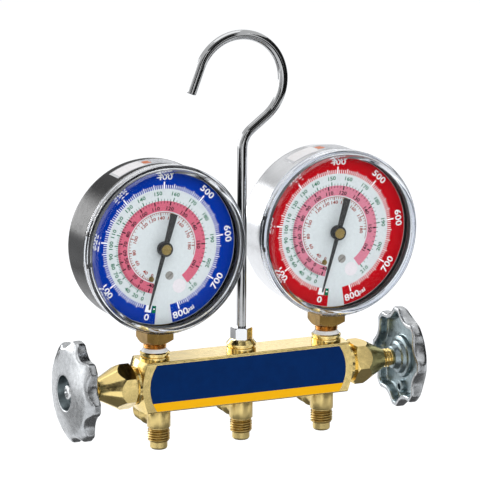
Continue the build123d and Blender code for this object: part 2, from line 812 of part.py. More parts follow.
def movement_frame():
    """Two plates, the pillars between them, the dial posts and the foot on the holder."""
    foot_top = sector_y - 2
    outline = Pos(0, (plate_top + foot_top) / 2) * Rectangle(plate_width, plate_top - foot_top)
    outline += Pos(0, (foot_top + holder_top) / 2) * Rectangle(holder_width, foot_top - holder_top)
    plates = None
    for front in (back_plate_front, front_plate_front):
        plate = Pos(0, 0, front - plate_thickness) * extrude(outline, plate_thickness)
        plates = plate if plates is None else plates + plate
    pillar = rod(pillar_r, back_plate_front - plate_thickness, front_plate_front)
    side = plate_width / 2 - pillar_inset
    for x, y in ((side, plate_top - pillar_inset), (-side, plate_top - pillar_inset), (side, foot_top + pillar_inset)):
        plates += Pos(x, y, 0) * pillar
    post = rod(dial_post_r, front_plate_front - plate_thickness, dial_front - dial_thickness)
    lower, upper = dial_screw_places()
    arm = bar_face((0, 0), (dial_screw_x, dial_screw_y), 2 * dial_post_r)
    plates += Pos(0, 0, front_plate_front - plate_thickness) * extrude(arm, plate_thickness)
    plates += lower * post + upper * post
    for place in (lower, upper):
        plates -= place * rod(dial_screw_r, front_plate_front, dial_front)
    plates -= rod(arbor_r + running_clearance, -case_back, case_lip)
    plates -= Pos(0, sector_y, 0) * rod(sector_arbor_r + running_clearance, -case_back, case_lip)
    plates -= Pos(calibration_x, calibration_y, 0) * rod(calibration_r, dial_front - 2, dial_front)
    return plates - holder_block()


def bourdon_tube():
    """Flattened, curved pressure tube, brazed into the holder."""
    sweep_angle = tube_end_angle - tube_start_angle
    path = CenterArc((0, 0), tube_centre_r, tube_start_angle, sweep_angle)
    start = Vector(*polar(tube_centre_r, tube_start_angle))
    tangent = Vector(*polar(1, tube_start_angle + 90))
    section_plane = Plane(origin=start, x_dir=(0, 0, 1), z_dir=tangent)
    half_axial, half_radial = tube_axial / 2, tube_radial / 2
    section = section_plane * make_face(Polyline(
        (-half_axial, 0), (-half_axial + half_radial, -half_radial), (half_axial - half_radial, -half_radial),
        (half_axial, 0), (half_axial - half_radial, half_radial), (-half_axial + half_radial, half_radial),
        close=True,
    ))
    return Pos(0, 0, tube_middle_z) * sweep(section, path=path) - holder_block()


def tube_tip():
    """Closing cap on the tube's free end, with the lug that works the link."""
    cap = Pos(0, 0, tube_middle_z) * Box(tube_radial, tip_length, tube_axial)
    place = Rot(0, 0, tube_end_angle) * Pos(tube_centre_r, tip_length / 2, 0)
    lug = bar_face((polar(tube_centre_r, tube_end_angle)), lug_end(), link_width)
    top = sector_front - link_gap
    cap_front = tube_middle_z + tube_axial / 2
    lug = Pos(0, 0, cap_front) * extrude(lug, top - cap_front)
    return place * cap + lug


def hairspring():
    """Flat spiral spring round the arbor, fixed at its outer end."""
    steps = int(hairspring_turns * 24)
    middle = [
        polar(hairspring_inner_r + hairspring_pitch * step / 24, step * 360 / 24) for step in range(steps + 1)
    ]
    outer = [polar(math.hypot(x, y) + hairspring_strip, math.degrees(math.atan2(y, x))) for x, y in middle]
    strip = make_face(Polyline(*middle, *reversed(outer), close=True))
    return Pos(0, 0, hairspring_front - hairspring_height) * extrude(strip, hairspring_height)


def pointer():
    """Pointer with a fine tip, a wide tail and a raised hub, drawn pointing up."""
    blade = make_face(Polyline(
        (-pointer_root_width / 2, 0),
        (-pointer_tip_width / 2, pointer_length),
        (pointer_tip_width / 2, pointer_length),
        (pointer_root_width / 2, 0),
        (pointer_tail_root_width / 2, 0),
        (pointer_tail_width / 2, -pointer_tail),
        (-pointer_tail_width / 2, -pointer_tail),
        (-pointer_tail_root_width / 2, 0),
        close=True,
    ))
    body = Pos(0, 0, pointer_back) * extrude(blade, pointer_thickness)
    body += rod(pointer_hub_r, pointer_back, pointer_back + pointer_hub_height)
    hole = rod(arbor_r, pointer_back - 1, pointer_back + pointer_hub_height + 1)
    return Rot(0, 0, pointer_rest_angle) * (body - hole)


def pointer_pin():
    """Slotted brass cap on the pointer's hub."""
    base = pointer_back + pointer_hub_height
    cap = rod(pointer_pin_r, base, base + pointer_pin_height)
    slot = Pos(0, 0, base + pointer_pin_height) * Box(2 * pointer_pin_r, 0.7, 1.0)
    return Rot(0, 0, pointer_rest_angle) * (cap - slot)


# ---- putting it together ------------------------------------------------------------------------------------------


def gauge_parts(side):
    """Every piece of one gauge, in place on the bar."""
    place = Pos(gauge_x if side == "right" else -gauge_x, 0, gauge_rise) * Rot(90, 0, 0)
    builders = {
        "gauge_socket": gauge_socket, "gauge_case": gauge_case, "case_screws": case_screws,
        "case_sticker": case_sticker, "crystal": crystal, "crystal_gasket": crystal_gasket,
        "dial": dial, "dial_screws": dial_screws, "calibration_screw": calibration_screw,
        "pointer": pointer, "pointer_pin": pointer_pin, "pinion_arbor": pinion_arbor,
        "sector_gear": sector_gear, "link": link, "movement_frame": movement_frame,
        "bourdon_tube": bourdon_tube, "tube_tip": tube_tip, "hairspring": hairspring,
    }
    parts = {}
    for name, build in builders.items():
        made = build()
        solids = made if isinstance(made, list) else [made]
        parts[f"{side}_{name}"] = [place * solid for solid in solids]
    return parts


def valve_parts(side):
    """Every piece of one valve, in place in the bar."""
    place = along_bar(side)
    bonnet_turn = Rot(0, 0, bonnet_turns[side])
    wheel_turn = Rot(0, 0, wheel_turns[side])
    return {
        f"{side}_bonnet": [place * bonnet_turn * bonnet()],
        f"{side}_packing": [place * packing()],
        f"{side}_stem": [place * stem()],
        f"{side}_piston": [place * piston()],
        f"{side}_seat_seal": [place * seat_seal()],
        f"{side}_handwheel": [place * wheel_turn * handwheel()],
        f"{side}_wheel_screw": [place * wheel_screw()],
    }


def all_parts():
    """Every node of the manifold, about the bar's axis."""
    port = hose_port()
    parts = {
        "manifold_bar": [manifold_bar()],
        "front_label": [front_label()],
        "left_port": [Pos(-port_pitch, 0, 0) * port],
        "centre_port": [port],
        "right_port": [Pos(port_pitch, 0, 0) * port],
        "hook": [hook()],
        "hook_lock_nut": [hook_lock_nut()],
        "left_gauge_seal": [Pos(-gauge_x, 0, 0) * gauge_seal()],
        "right_gauge_seal": [Pos(gauge_x, 0, 0) * gauge_seal()],
    }
    for side in ("left", "right"):
        parts.update(valve_parts(side))
        parts.update(gauge_parts(side))
    return parts


def main():
    """Write one STEP file for each node, with the origin at the hang point."""
    os.makedirs("parts", exist_ok=True)
    hang = Pos(0, 0, -hang_height)
    for name, solids in all_parts().items():
        placed = [hang * solid for solid in solids]
        shape = placed[0] if len(placed) == 1 else Compound(children=placed)
        export_step(shape, f"parts/{name}.step")


main()
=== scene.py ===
import math
from collections import namedtuple

import bmesh
import bpy
from mathutils import Matrix, Vector


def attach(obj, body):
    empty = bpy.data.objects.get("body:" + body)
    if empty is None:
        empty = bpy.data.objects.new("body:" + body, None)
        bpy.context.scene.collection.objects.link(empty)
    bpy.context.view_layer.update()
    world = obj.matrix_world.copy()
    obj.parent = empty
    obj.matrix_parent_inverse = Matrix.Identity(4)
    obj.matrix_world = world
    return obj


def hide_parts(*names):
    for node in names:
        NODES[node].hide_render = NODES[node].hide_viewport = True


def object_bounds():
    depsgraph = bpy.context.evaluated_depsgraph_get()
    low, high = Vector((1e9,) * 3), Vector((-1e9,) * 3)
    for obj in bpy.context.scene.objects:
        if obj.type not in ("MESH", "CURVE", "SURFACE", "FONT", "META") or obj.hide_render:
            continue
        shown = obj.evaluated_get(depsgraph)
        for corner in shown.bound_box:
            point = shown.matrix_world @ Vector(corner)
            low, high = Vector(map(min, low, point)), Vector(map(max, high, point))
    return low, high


bl_info = {
    "name": "Refrigerant manifold gauge set",
    "version": (1, 0, 0),
    "blender": (4, 5, 0),
    "location": "3D Viewport > Sidebar > Manifold",
    "description": "Dresses the packed manifold gauge set with its finishes, threads and dial printing",
    "category": "Object",
}

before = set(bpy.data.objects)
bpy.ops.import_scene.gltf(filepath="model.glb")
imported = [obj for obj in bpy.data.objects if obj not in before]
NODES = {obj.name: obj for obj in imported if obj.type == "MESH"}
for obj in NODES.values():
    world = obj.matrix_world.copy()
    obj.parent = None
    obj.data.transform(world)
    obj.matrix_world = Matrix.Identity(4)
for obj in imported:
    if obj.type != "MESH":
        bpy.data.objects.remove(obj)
CAD_BOX = [list(corner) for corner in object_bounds()]

TAU = 2 * math.pi
MM = 0.001  # lengths are in millimetres until they are placed
SIDES = ("left", "right")
HANG_HEIGHT = 167.52  # hang point above the bar's axis
GAUGE_X = 46.6  # a gauge's middle, from the bar's middle
GAUGE_RISE = 69.8  # a gauge's middle, above the bar's axis


def side_sign(side):
    """-1 on the left and +1 on the right."""
    return -1.0 if side == "left" else 1.0


# ---- sizes and colours ----


def colour_prop(name, description, value):
    """Linear colour property."""
    return bpy.props.FloatVectorProperty(
        name=name, description=description, subtype="COLOR", size=3, min=0.0, max=1.0, default=value)


def length_prop(name, description, value):
    """Length property in metres."""
    return bpy.props.FloatProperty(
        name=name, description=description, subtype="DISTANCE", unit="LENGTH", min=0.0, default=value,
        precision=5)


class ManifoldColours(bpy.types.PropertyGroup):
    """Colours of the manifold's finishes."""

    brass: colour_prop("Brass", "Polished brass of the bar, ports and bonnets", (0.85, 0.66, 0.27))
    socket: colour_prop("Socket brass", "Darker brass of the gauge sockets", (0.34, 0.21, 0.06))
    chrome: colour_prop("Chrome", "Bright plating of the right case and the lock nut", (0.72, 0.73, 0.75))
    # The hook's chrome is darker than the nut's: painted shade for the dark surroundings that the rod
    # reflects.
    hook: colour_prop("Hook", "Grey plating of the hook rod", (0.40, 0.405, 0.41))
    dark_case: colour_prop("Dark case", "Gloss black of the left case", (0.010, 0.010, 0.011))
    wheel: colour_prop("Handwheel", "Cast metal of the handwheels", (0.46, 0.475, 0.49))
    wheel_inside: colour_prop("Handwheel inside", "Slate shade of the wheels' hollow side",
                              (0.27, 0.33, 0.35))
    low_ring: colour_prop("Low-side ring", "Blue ring of the low-pressure dial", (0.001, 0.032, 0.33))
    high_ring: colour_prop("High-side ring", "Red ring of the high-pressure dial", (0.49, 0.004, 0.009))
    low_band: colour_prop("Low-side band", "Pink band of the low-pressure dial", (0.58, 0.128, 0.188))
    high_band: colour_prop("High-side band", "Paler pink band of the high-pressure dial",
                           (0.60, 0.205, 0.275))
    dial: colour_prop("Dial face", "Pale face of the dials", (0.61, 0.65, 0.655))
    label: colour_prop("Label", "Navy ground of the bar's label", (0.0, 0.021, 0.112))
    stripe: colour_prop("Stripe", "Amber stripe along the label's lower edge", (1.0, 0.50, 0.006))


class ManifoldSizes(bpy.types.PropertyGroup):
    """Sizes of the details that are made here."""

    flare_thread_pitch: length_prop("Flare pitch", "Pitch of the hose ports' thread", 0.00127)
    flare_thread_depth: length_prop("Flare thread depth", "Depth of the hose ports' thread", 0.00072)
    stem_thread_pitch: length_prop("Stem pitch", "Pitch of the valve stems' thread", 0.0015875)
    stem_thread_depth: length_prop("Stem thread depth", "Depth of the valve stems' thread", 0.00085)
    numeral_height: length_prop("Numeral height", "Height of the outer scale's numerals", 0.0033)
    print_thickness: length_prop("Print thickness", "Thickness of the dials' printed marks", 0.00004)


def colour(name):
    """One of the scene's colour settings."""
    return tuple(getattr(bpy.context.scene.manifold_colours, name))


def size(name):
    """One of the scene's size settings, in millimetres."""
    return getattr(bpy.context.scene.manifold_sizes, name) / MM


# ---- places and meshes ----


def turn_about(axis, degrees):
    """Rotation about an axis."""
    return Matrix.Rotation(math.radians(degrees), 4, axis)


def shift(x, y, z):
    """Move by a vector."""
    return Matrix.Translation((x, y, z))


def upright(x=0.0):
    """From upright axes on the bar's axis, in mm, to the row frame."""
    return Matrix.Scale(MM, 4) @ shift(x, 0, -HANG_HEIGHT)


def outward(side):
    """From a valve's own axes, Z outwards along the bar, in mm, to the row frame."""
    return upright() @ turn_about("Y", 90 * side_sign(side))


def on_gauge(side):
    """From a gauge's own axes, X right, Y up, Z to the reader, in mm, to the row frame."""
    return upright(side_sign(side) * GAUGE_X) @ shift(0, 0, GAUGE_RISE) @ turn_about("X", 90)


def loft(bm, rings, segments, closed=False, place=Matrix(), caps=(True, True)):
    """Skin over rings. Each ring is a function of the angle that gives radius and height."""

    def shape(verts, ring):
        angle_of = {v: math.atan2(v.co.y, v.co.x) for v in verts}
        for v, angle in angle_of.items():
            radius, height = ring(angle)
            v.co = Vector((radius * math.cos(angle), radius * math.sin(angle), height))

    verts = bmesh.ops.create_circle(bm, cap_ends=False, segments=segments, radius=1.0)["verts"]
    edges = list({e for v in verts for e in v.link_edges})
    shape(verts, rings[0])
    first_edges, all_verts = edges, list(verts)
    for ring in rings[1:]:
        out = bmesh.ops.extrude_edge_only(bm, edges=edges)["geom"]
        verts = [g for g in out if isinstance(g, bmesh.types.BMVert)]
        edges = [g for g in out if isinstance(g, bmesh.types.BMEdge)]
        shape(verts, ring)
        all_verts += verts
    if closed:
        bmesh.ops.bridge_loops(bm, edges=first_edges + edges)
    else:
        for end, wanted in zip((first_edges, edges), caps):
            if wanted:
                bmesh.ops.edgeloop_fill(bm, edges=end)
    bmesh.ops.recalc_face_normals(bm, faces=list({f for v in all_verts for f in v.link_faces}))
    bmesh.ops.transform(bm, matrix=place, verts=all_verts)


def round_ring(radius, height):
    """Plain circle at a height."""
    return lambda angle: (radius, height)


def round_rings(outline):
    """Plain circles at an outline's (radius, height) points."""
    return [round_ring(*point) for point in outline]


def turned(bm, outline, segments, closed=False, place=Matrix()):
    """Turned solid from (radius, height) points."""
    loft(bm, round_rings(outline), segments, closed, place)


THREAD_SEGMENTS = 48
THREAD_ROWS = 8  # rings in each pitch


def thread_rings(radius, pitch, depth, start, end):
    """Rings of a helical thread between two heights, which runs out at both ends."""
    root_flat, flank = 0.10, 0.78
    run_out = THREAD_ROWS * 0.4
    count = max(4, int(abs(end - start) / pitch * THREAD_ROWS))

    def ring_at(height, fade):
        def ring(angle):
            phase = (height / pitch - angle / TAU) % 1.0
            ridge = (abs(2 * phase - 1) - root_flat) / flank
            return radius - depth * (1 - min(1.0, max(0.0, ridge)) * fade), height
        return ring

    return [ring_at(start + (end - start) * step / count, min(1.0, min(step, count - step) / run_out))
            for step in range(count + 1)]


def threaded(bm, first, thread, last, closed=False, place=Matrix()):
    """Turned solid with a thread between two outlines."""
    rings = round_rings(first) + thread_rings(*thread) + round_rings(last)
    loft(bm, rings, THREAD_SEGMENTS, closed, place)


def box_at(bm, dimensions, place, bevel=0.0):
    """Bevelled block."""
    made = bmesh.ops.create_cube(bm, size=1.0, matrix=Matrix.Diagonal((*dimensions, 1)))["verts"]
    if bevel:
        edges = list({e for v in made for e in v.link_edges})
        made = bmesh.ops.bevel(bm, geom=edges, offset=bevel, segments=2, profile=0.5, affect="EDGES",
                               material=-1)["verts"]
    bmesh.ops.transform(bm, matrix=place, verts=made)
    return made


def add_object(name, bm):
    """Object from a bmesh, which is freed."""
    mesh = bpy.data.meshes.new(name)
    bm.to_mesh(mesh)
    bm.free()
    made = bpy.data.objects.new(name, mesh)
    bpy.context.scene.collection.objects.link(made)
    return made


def add_piece(name, bm, body, materials, replaces=(), sharp=40, place=Matrix()):
    """Finished piece from a bmesh, riding on its body, with edges over an angle left sharp."""
    bmesh.ops.transform(bm, matrix=place, verts=bm.verts)
    piece = add_object(name, bm)
    for polygon in piece.data.polygons:
        polygon.use_smooth = True
    piece.data.set_sharp_from_angle(angle=math.radians(sharp))
    for material in materials:
        piece.data.materials.append(material)
    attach(piece, body)
    if replaces:
        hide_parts(*replaces)


def dress(node, material):
    """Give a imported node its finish."""
    slots = NODES[node].material_slots
    if not slots:
        NODES[node].data.materials.append(material)
    for slot in slots:
        slot.material = material


def dress_both(**finishes):
    """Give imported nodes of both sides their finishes. Each is named without its side."""
    for side in SIDES:
        for name, material in finishes.items():
            dress(f"{side}_{name}", material)


# ---- finishes ----


class Nodes:
    """Adds and joins shader nodes in one tree, which starts empty."""

    def __init__(self, tree):
        self.tree = tree
        tree.nodes.clear()

    def add(self, kind, **values):
        """Node with its settings and inputs, whose spaces are written as underscores."""
        node = self.tree.nodes.new("ShaderNode" + kind)
        for key, value in values.items():
            if hasattr(node, key):
                setattr(node, key, value)
            else:
                node.inputs[key.replace("_", " ")].default_value = value
        return node

    def link(self, a, b):
        """Join an output to an input."""
        self.tree.links.new(a, b)

    def math(self, operation, a, b=0.5):
        """Result of an operation on numbers or outputs."""
        node = self.add("Math", operation=operation)
        for socket, value in zip(node.inputs, (a, b)):
            if isinstance(value, (int, float)):
                socket.default_value = value
            else:
                self.link(value, socket)
        return node.outputs["Value"]

    def product(self, a, b):
        """One value times another."""
        return self.math("MULTIPLY", a, b)

    def within(self, value, low, high):
        """1 between two numbers, and 0 elsewhere."""
        return self.product(self.math("GREATER_THAN", value, low), self.math("LESS_THAN", value, high))

    def hypotenuse(self, a, b):
        """Distance that two values make."""
        return self.math("POWER", self.math("ADD", self.product(a, a), self.product(b, b)), 0.5)

    def mix_shaders(self, factor, a, b, target):
        """One shader at a factor of 0 and another at 1."""
        mixed = self.add("MixShader")
        for source, socket in zip((factor, a, b), mixed.inputs):
            self.link(source, socket)
        self.link(mixed.outputs["Shader"], target)

    def seen(self):
        """1 for what the camera, reflections and clear pieces show, and 0 for light on the object."""
        rays = self.add("LightPath").outputs
        indirect = self.math("MAXIMUM", rays["Is Glossy Ray"], rays["Is Transmission Ray"])
        return self.math("MAXIMUM", rays["Is Camera Ray"], indirect)


COLOUR_INPUTS, COLOUR_OUTPUT = slice(6, 8), 2  # a Mix node's colour sockets


class Finish(Nodes):
    """Node material about one Principled shader. Patterns lie in the piece's own coordinates, in metres."""

    def __init__(self, name, tone, metallic, roughness, **sockets):
        self.material = bpy.data.materials.get(name) or bpy.data.materials.new(name)
        self.material.use_nodes = True
        super().__init__(self.material.node_tree)
        self.out = self.add("OutputMaterial")
        self.shader = self.add("BsdfPrincipled", Base_Color=(*tone, 1.0), Metallic=metallic,
                               Roughness=roughness, **sockets)
        self.link(self.shader.outputs["BSDF"], self.out.inputs["Surface"])
        self.place = self.add("TexCoord").outputs["Object"]

    def noise(self, scale, detail=4.0, stretch=(1, 1, 1)):
        """Noise with a scale per metre."""
        mapping = self.add("Mapping", Scale=stretch)
        self.link(self.place, mapping.inputs["Vector"])
        node = self.add("TexNoise", Scale=scale, Detail=detail)
        self.link(mapping.outputs["Vector"], node.inputs["Vector"])
        return node.outputs["Fac"]

    def ramp(self, value, low, high, dark, light):
        """Colour that goes from one tone to another as a value goes from low to high."""
        node = self.add("ValToRGB")
        for stop, place, tone in zip(node.color_ramp.elements, (low, high), (dark, light)):
            stop.position = place
            stop.color = (*tone, 1.0)
        self.link(value, node.inputs["Fac"])
        return node.outputs["Color"]

    def mottle(self, scale, dark, light, detail=4.0, stretch=(1, 1, 1)):
        """Colour that drifts between two tones."""
        return self.ramp(self.noise(scale, detail, stretch), 0.3, 0.7, dark, light)

    def spread(self, value, before, after, low, high):
        """A value's range before and after, held at its ends."""
        node = self.add("MapRange", From_Min=before, From_Max=after, To_Min=low, To_Max=high)
        self.link(value, node.inputs["Value"])
        return node.outputs["Result"]

    def vary_roughness(self, scale, low, high, stretch=(1, 1, 1)):
        """Let the roughness drift between two values."""
        drift = self.spread(self.noise(scale, 5.0, stretch), 0.3, 0.7, low, high)
        self.link(drift, self.shader.inputs["Roughness"])

    def paint(self, tone):
        """Give the surface a colour made by nodes."""
        self.link(tone, self.shader.inputs["Base Color"])

    def bump(self, scale, height, strength):
        """Fine unevenness."""
        node = self.add("Bump", Strength=strength, Distance=height)
        self.link(self.noise(scale, 6.0), node.inputs["Height"])
        self.link(node.outputs["Normal"], self.shader.inputs["Normal"])

    def axes(self):
        """The place's X, Y and Z."""
        node = self.add("SeparateXYZ")
        self.link(self.place, node.inputs["Vector"])
        return node.outputs

    def mix(self, factor, a, b):
        """Colour a at a factor of 0 and b at 1."""
        node = self.add("Mix", data_type="RGBA")
        self.link(factor, node.inputs[0])
        for socket, value in zip(node.inputs[COLOUR_INPUTS], (a, b)):
            if isinstance(value, tuple):
                socket.default_value = (*value, 1.0)
            else:
                self.link(value, socket)
        return node.outputs[COLOUR_OUTPUT]


def shade(tone, factor):
    """Colour made darker or lighter."""
    return tuple(max(0.0, min(1.0, part * factor)) for part in tone)


def metal(name, tone, roughness, grain, shades, rough_grain, rough_range, uneven=None):
    """Metal whose tone and roughness drift, uneven where it is cast or worn."""
    finish = Finish(name, tone, 1.0, roughness)
    finish.paint(finish.mottle(grain, *(shade(tone, factor) for factor in shades), detail=3.0))
    finish.vary_roughness(rough_grain, *rough_range)
    if uneven:
        finish.bump(*uneven)
    return finish.material


def polished_brass(name="polished_brass", satin=0.0):
    """Bright brass, more or less satin."""
    return metal(name, colour("brass"), 0.16 + satin, 160.0, (0.93, 1.07),
                 420.0, (0.10 + satin, 0.22 + satin), (900.0, 0.00002, 0.25))


def plated(name, tone, satin=0.0):
    """Bright plating, more or less satin."""
    return metal(name, tone, 0.08, 90.0, (0.94, 1.04), 300.0, (0.05 + satin, 0.12 + satin))


def cast_wheel(name, tone, low, high):
    """Cast metal with a roughness between two values."""
    return metal(name, tone, 0.3, 420.0, (0.82, 1.14), 520.0, (low, high), (1100.0, 0.00006, 0.35))


def plain_metal(name, tone, roughness):
    """Metal of a small piece."""
    return metal(name, tone, roughness, 600.0, (0.88, 1.08), 700.0, (roughness * 0.8, roughness * 1.25))


def plain_soft(name, tone, roughness, fleck=0.1):
    """Rubber, plastic or paint."""
    finish = Finish(name, tone, 0.0, roughness)
    finish.paint(finish.mottle(700.0, shade(tone, 1 - fleck), shade(tone, 1 + fleck), detail=3.0))
    finish.vary_roughness(500.0, roughness * 0.85, roughness * 1.15)
    return finish.material


def printed(name, tone, roughness=0.6):
    """Printing ink and dial paint."""
    finish = Finish(name, tone, 0.0, roughness, Specular_IOR_Level=0.02)
    finish.paint(finish.mottle(900.0, shade(tone, 0.96), shade(tone, 1.04), detail=3.0))
    return finish.material


# ---- bar ----

LABEL_STRIPE_TOP = -7.75  # from the bar's axis


def label_film():
    """Navy film with an amber stripe along its lower edge."""
    navy, amber = colour("label"), colour("stripe")
    finish = Finish("label_film", navy, 0.0, 0.45, Specular_IOR_Level=0.05)
    below = finish.math("LESS_THAN", finish.axes()["Z"], (LABEL_STRIPE_TOP - HANG_HEIGHT) * MM)
    ground = finish.mottle(260.0, shade(navy, 0.92), shade(navy, 1.1))
    finish.paint(finish.mix(below, ground, finish.mottle(240.0, shade(amber, 0.97), amber)))
    return finish.material


class MANIFOLD_OT_body(bpy.types.Operator):
    """Finish the bar, its bonnets, sealing rings and packings"""

    bl_idname = "manifold.body"
    bl_label = "Bar and bonnets"

    def execute(self, context):
        brass = polished_brass()
        dress("manifold_bar", polished_brass("bar_brass", 0.05))
        seal = plain_soft("white_seal", (0.88, 0.88, 0.87), 0.4, 0.02)
        rubber = plain_soft("black_rubber", (0.02, 0.02, 0.02), 0.6)
        inner = plain_metal("turned_brass", (0.70, 0.48, 0.18), 0.28)
        dress_both(bonnet=brass, gauge_seal=seal, packing=rubber, piston=inner, seat_seal=seal)
        return {"FINISHED"}


class MANIFOLD_OT_label(bpy.types.Operator):
    """Finish the bare label on the bar"""

    bl_idname = "manifold.label"
    bl_label = "Front label"

    def execute(self, context):
        dress("front_label", label_film())
        return {"FINISHED"}


# ---- hose ports ----

# Outlines are (radius, height) points: the ports' up from the bar's axis, the stubs' out from the port's.
PORT_PITCH = 44.45  # from one port to the next
FLARE_R = 5.556  # over the thread's crests
STUB_AXIS = -17.9  # the parking stubs' height
PORT_COLLAR = ((2.4, -12.7), (5.6, -12.7), (5.8, -13.0), (5.8, -21.8), (5.5, -22.2), (5.05, -22.3),
               (5.0, -22.7))
PORT_THREAD = (-22.8, -29.15)  # the thread's ends
PORT_NOSE = ((4.45, -29.3), (4.35, -29.6), (4.35, -32.1), (4.2, -32.6), (3.7, -33.1), (3.2, -33.3),
             (2.4, -33.3))
STUB_NECK = ((4.0, 5.0), (4.0, 8.9), (4.35, 9.6), (5.2, 10.3), (5.7, 10.6), (5.8, 10.8), (5.8, 11.2),
             (5.4, 11.4), (5.0, 11.5), (5.0, 11.7))
STUB_THREAD = (11.8, 20.0)  # the thread's ends
STUB_TIP = ((4.45, 20.1), (4.35, 20.3), (4.35, 22.2), (4.2, 22.8), (3.7, 23.4), (3.1, 23.7))
NOSE_BACK = 10.5  # the ports' own threads lie in front of this
ROOT_SHADE_FULL_R, ROOT_SHADE_GONE_R = 4.9, 5.45  # painted shade in the thread roots is full up to one radius and gone from the other


def port_brass():
    """Satin turned brass, with painted shade in the roots of the threads."""
    brass = shade(colour("brass"), 0.9)
    finish = Finish("port_brass", brass, 1.0, 0.26)
    place = finish.axes()
    pitch, margin = PORT_PITCH * MM, 0.1
    across = finish.math("PINGPONG", finish.math("ABSOLUTE", place["X"]), pitch)
    across = finish.math("MINIMUM", across, finish.math("SUBTRACT", pitch, across))
    rise = finish.math("ADD", place["Z"], (HANG_HEIGHT - STUB_AXIS) * MM)

    def root(radius):
        return finish.spread(radius, ROOT_SHADE_FULL_R * MM, ROOT_SHADE_GONE_R * MM, 1.0, 0.0)

    top, bottom = (height - STUB_AXIS for height in PORT_THREAD)
    nose = finish.product(finish.math("LESS_THAN", place["Y"], NOSE_BACK * MM),
                          finish.within(rise, (bottom - margin) * MM, (top + margin) * MM))
    tail = finish.within(place["Y"], (STUB_THREAD[0] - 2 * margin) * MM, (STUB_THREAD[1] + margin) * MM)
    # Painted shade: this mask darkens the thread roots on the ports' noses and on the parking stubs.
    dark = finish.math("ADD", finish.product(nose, root(finish.hypotenuse(across, place["Y"]))),
                       finish.product(tail, root(finish.hypotenuse(across, rise))))
    tone = finish.mottle(300.0, shade(brass, 0.96), shade(brass, 1.04), 3.0, (1, 1, 0.15))
    # The dark brown mixed in here is painted shade in the thread roots.
    finish.paint(finish.mix(dark, tone, (0.30, 0.175, 0.045)))
    finish.vary_roughness(500.0, 0.34, 0.37, (1, 1, 0.2))
    return finish.material


class MANIFOLD_OT_ports(bpy.types.Operator):
    """Model the threaded hose ports with their parking stubs"""

    bl_idname = "manifold.ports"
    bl_label = "Hose ports"

    def execute(self, context):
        brass = port_brass()
        flare = (FLARE_R, size("flare_thread_pitch"), size("flare_thread_depth"))
        for name, x in (("left", -PORT_PITCH), ("centre", 0.0), ("right", PORT_PITCH)):
            bm = bmesh.new()
            down = upright(x)
            threaded(bm, PORT_COLLAR, (*flare, *PORT_THREAD), PORT_NOSE, True, down)
            behind = down @ shift(0, 0, STUB_AXIS) @ turn_about("X", -90)
            threaded(bm, STUB_NECK, (*flare, *STUB_THREAD), STUB_TIP, False, behind)
            add_piece(f"{name}_hose_port", bm, "manifold", [brass], [f"{name}_port"], 50)
        return {"FINISHED"}


# ---- hook ----

HOOK_R = 2.38  # of the rod
HOOK_CHAMFER = 0.5
HOOK_FOOT = 12.5  # where the rod comes out of the bar
HOOK_LEAN = 37.2  # of the slanted stretch, from level, in degrees
HOOK_LOWER_BEND_R = 12.0
HOOK_LOOP_R = 22.9
HOOK_LOOP_CENTRE = (-1.3, 0, 147.0)
HOOK_LOOP_END = 159.5  # degrees from level
HOOK_TAIL = 13.1  # straight stretch at the open end


class MANIFOLD_OT_hook(bpy.types.Operator):
    """Model the bent hook rod and finish its lock nut"""

    bl_idname = "manifold.hook"
    bl_label = "Hook"

    def execute(self, context):
        lean, loop_end = math.radians(HOOK_LEAN), math.radians(HOOK_LOOP_END)
        loop_start = lean - math.pi / 2
        centre = Vector(HOOK_LOOP_CENTRE)
        start = centre + Vector((math.cos(loop_start), 0, math.sin(loop_start))) * HOOK_LOOP_R
        tangent = HOOK_LOWER_BEND_R * math.tan((math.pi / 2 - lean) / 2)
        bend_height = start.z - start.x * math.tan(lean) - tangent
        bm = bmesh.new()
        made = bmesh.ops.create_circle(bm, cap_ends=True, segments=32, radius=HOOK_R - HOOK_CHAMFER,
                                       matrix=shift(0, 0, HOOK_FOOT))
        face = made["verts"][0].link_faces[0]

        def extrude():
            nonlocal face
            face = bmesh.ops.extrude_discrete_faces(bm, faces=[face])["faces"][0]

        def grow(move, scale=1.0):
            extrude()
            middle = face.calc_center_median()
            for v in face.verts:
                v.co = middle + (v.co - middle) * scale + Vector(move)

        def bend(pivot, angle, steps):
            step = Matrix.Rotation(angle / steps, 3, "Y")
            for _ in range(steps):
                extrude()
                bmesh.ops.rotate(bm, cent=pivot, matrix=step, verts=list(face.verts))

        grow((0, 0, HOOK_CHAMFER), HOOK_R / (HOOK_R - HOOK_CHAMFER))
        shaft_parts = 8
        for _ in range(shaft_parts):
            grow((0, 0, (bend_height - HOOK_FOOT - HOOK_CHAMFER) / shaft_parts))
        bend(Vector((HOOK_LOWER_BEND_R, 0, bend_height)), math.pi / 2 - lean, 16)
        grow(start - face.calc_center_median())
        bend(centre, loop_start - loop_end, 80)
        tail = Vector((-math.sin(loop_end), 0, math.cos(loop_end)))
        grow(tail * HOOK_TAIL)
        grow(tail * 0.4, 0.84)
        bmesh.ops.recalc_face_normals(bm, faces=bm.faces)
        # The rod's plating is chrome darkened as painted shade for what it reflects; the lock nut keeps the
        # bright chrome.
        plating = plated("hook_plating", colour("hook"))
        add_piece("hook_rod", bm, "manifold", [plating], ["hook"], place=upright())
        dress("hook_lock_nut", plated("nut_plating", colour("chrome")))
        return {"FINISHED"}


# ---- valves ----

# Heights are outwards along the bar, from its middle.
STEM_THREAD_R = 4.7
STEM_THREAD = (61.0, 82.6)  # the thread's ends
STEM_SHAFT = ((2.4, 40.0), (2.4, 43.13), (4.5, 43.13), (STEM_THREAD_R, 43.3), (STEM_THREAD_R, 60.0))
STEM_END = ((3.9, 82.9), (3.88, 83.1), (3.88, 89.5), (2.0, 89.5), (2.0, 81.0))


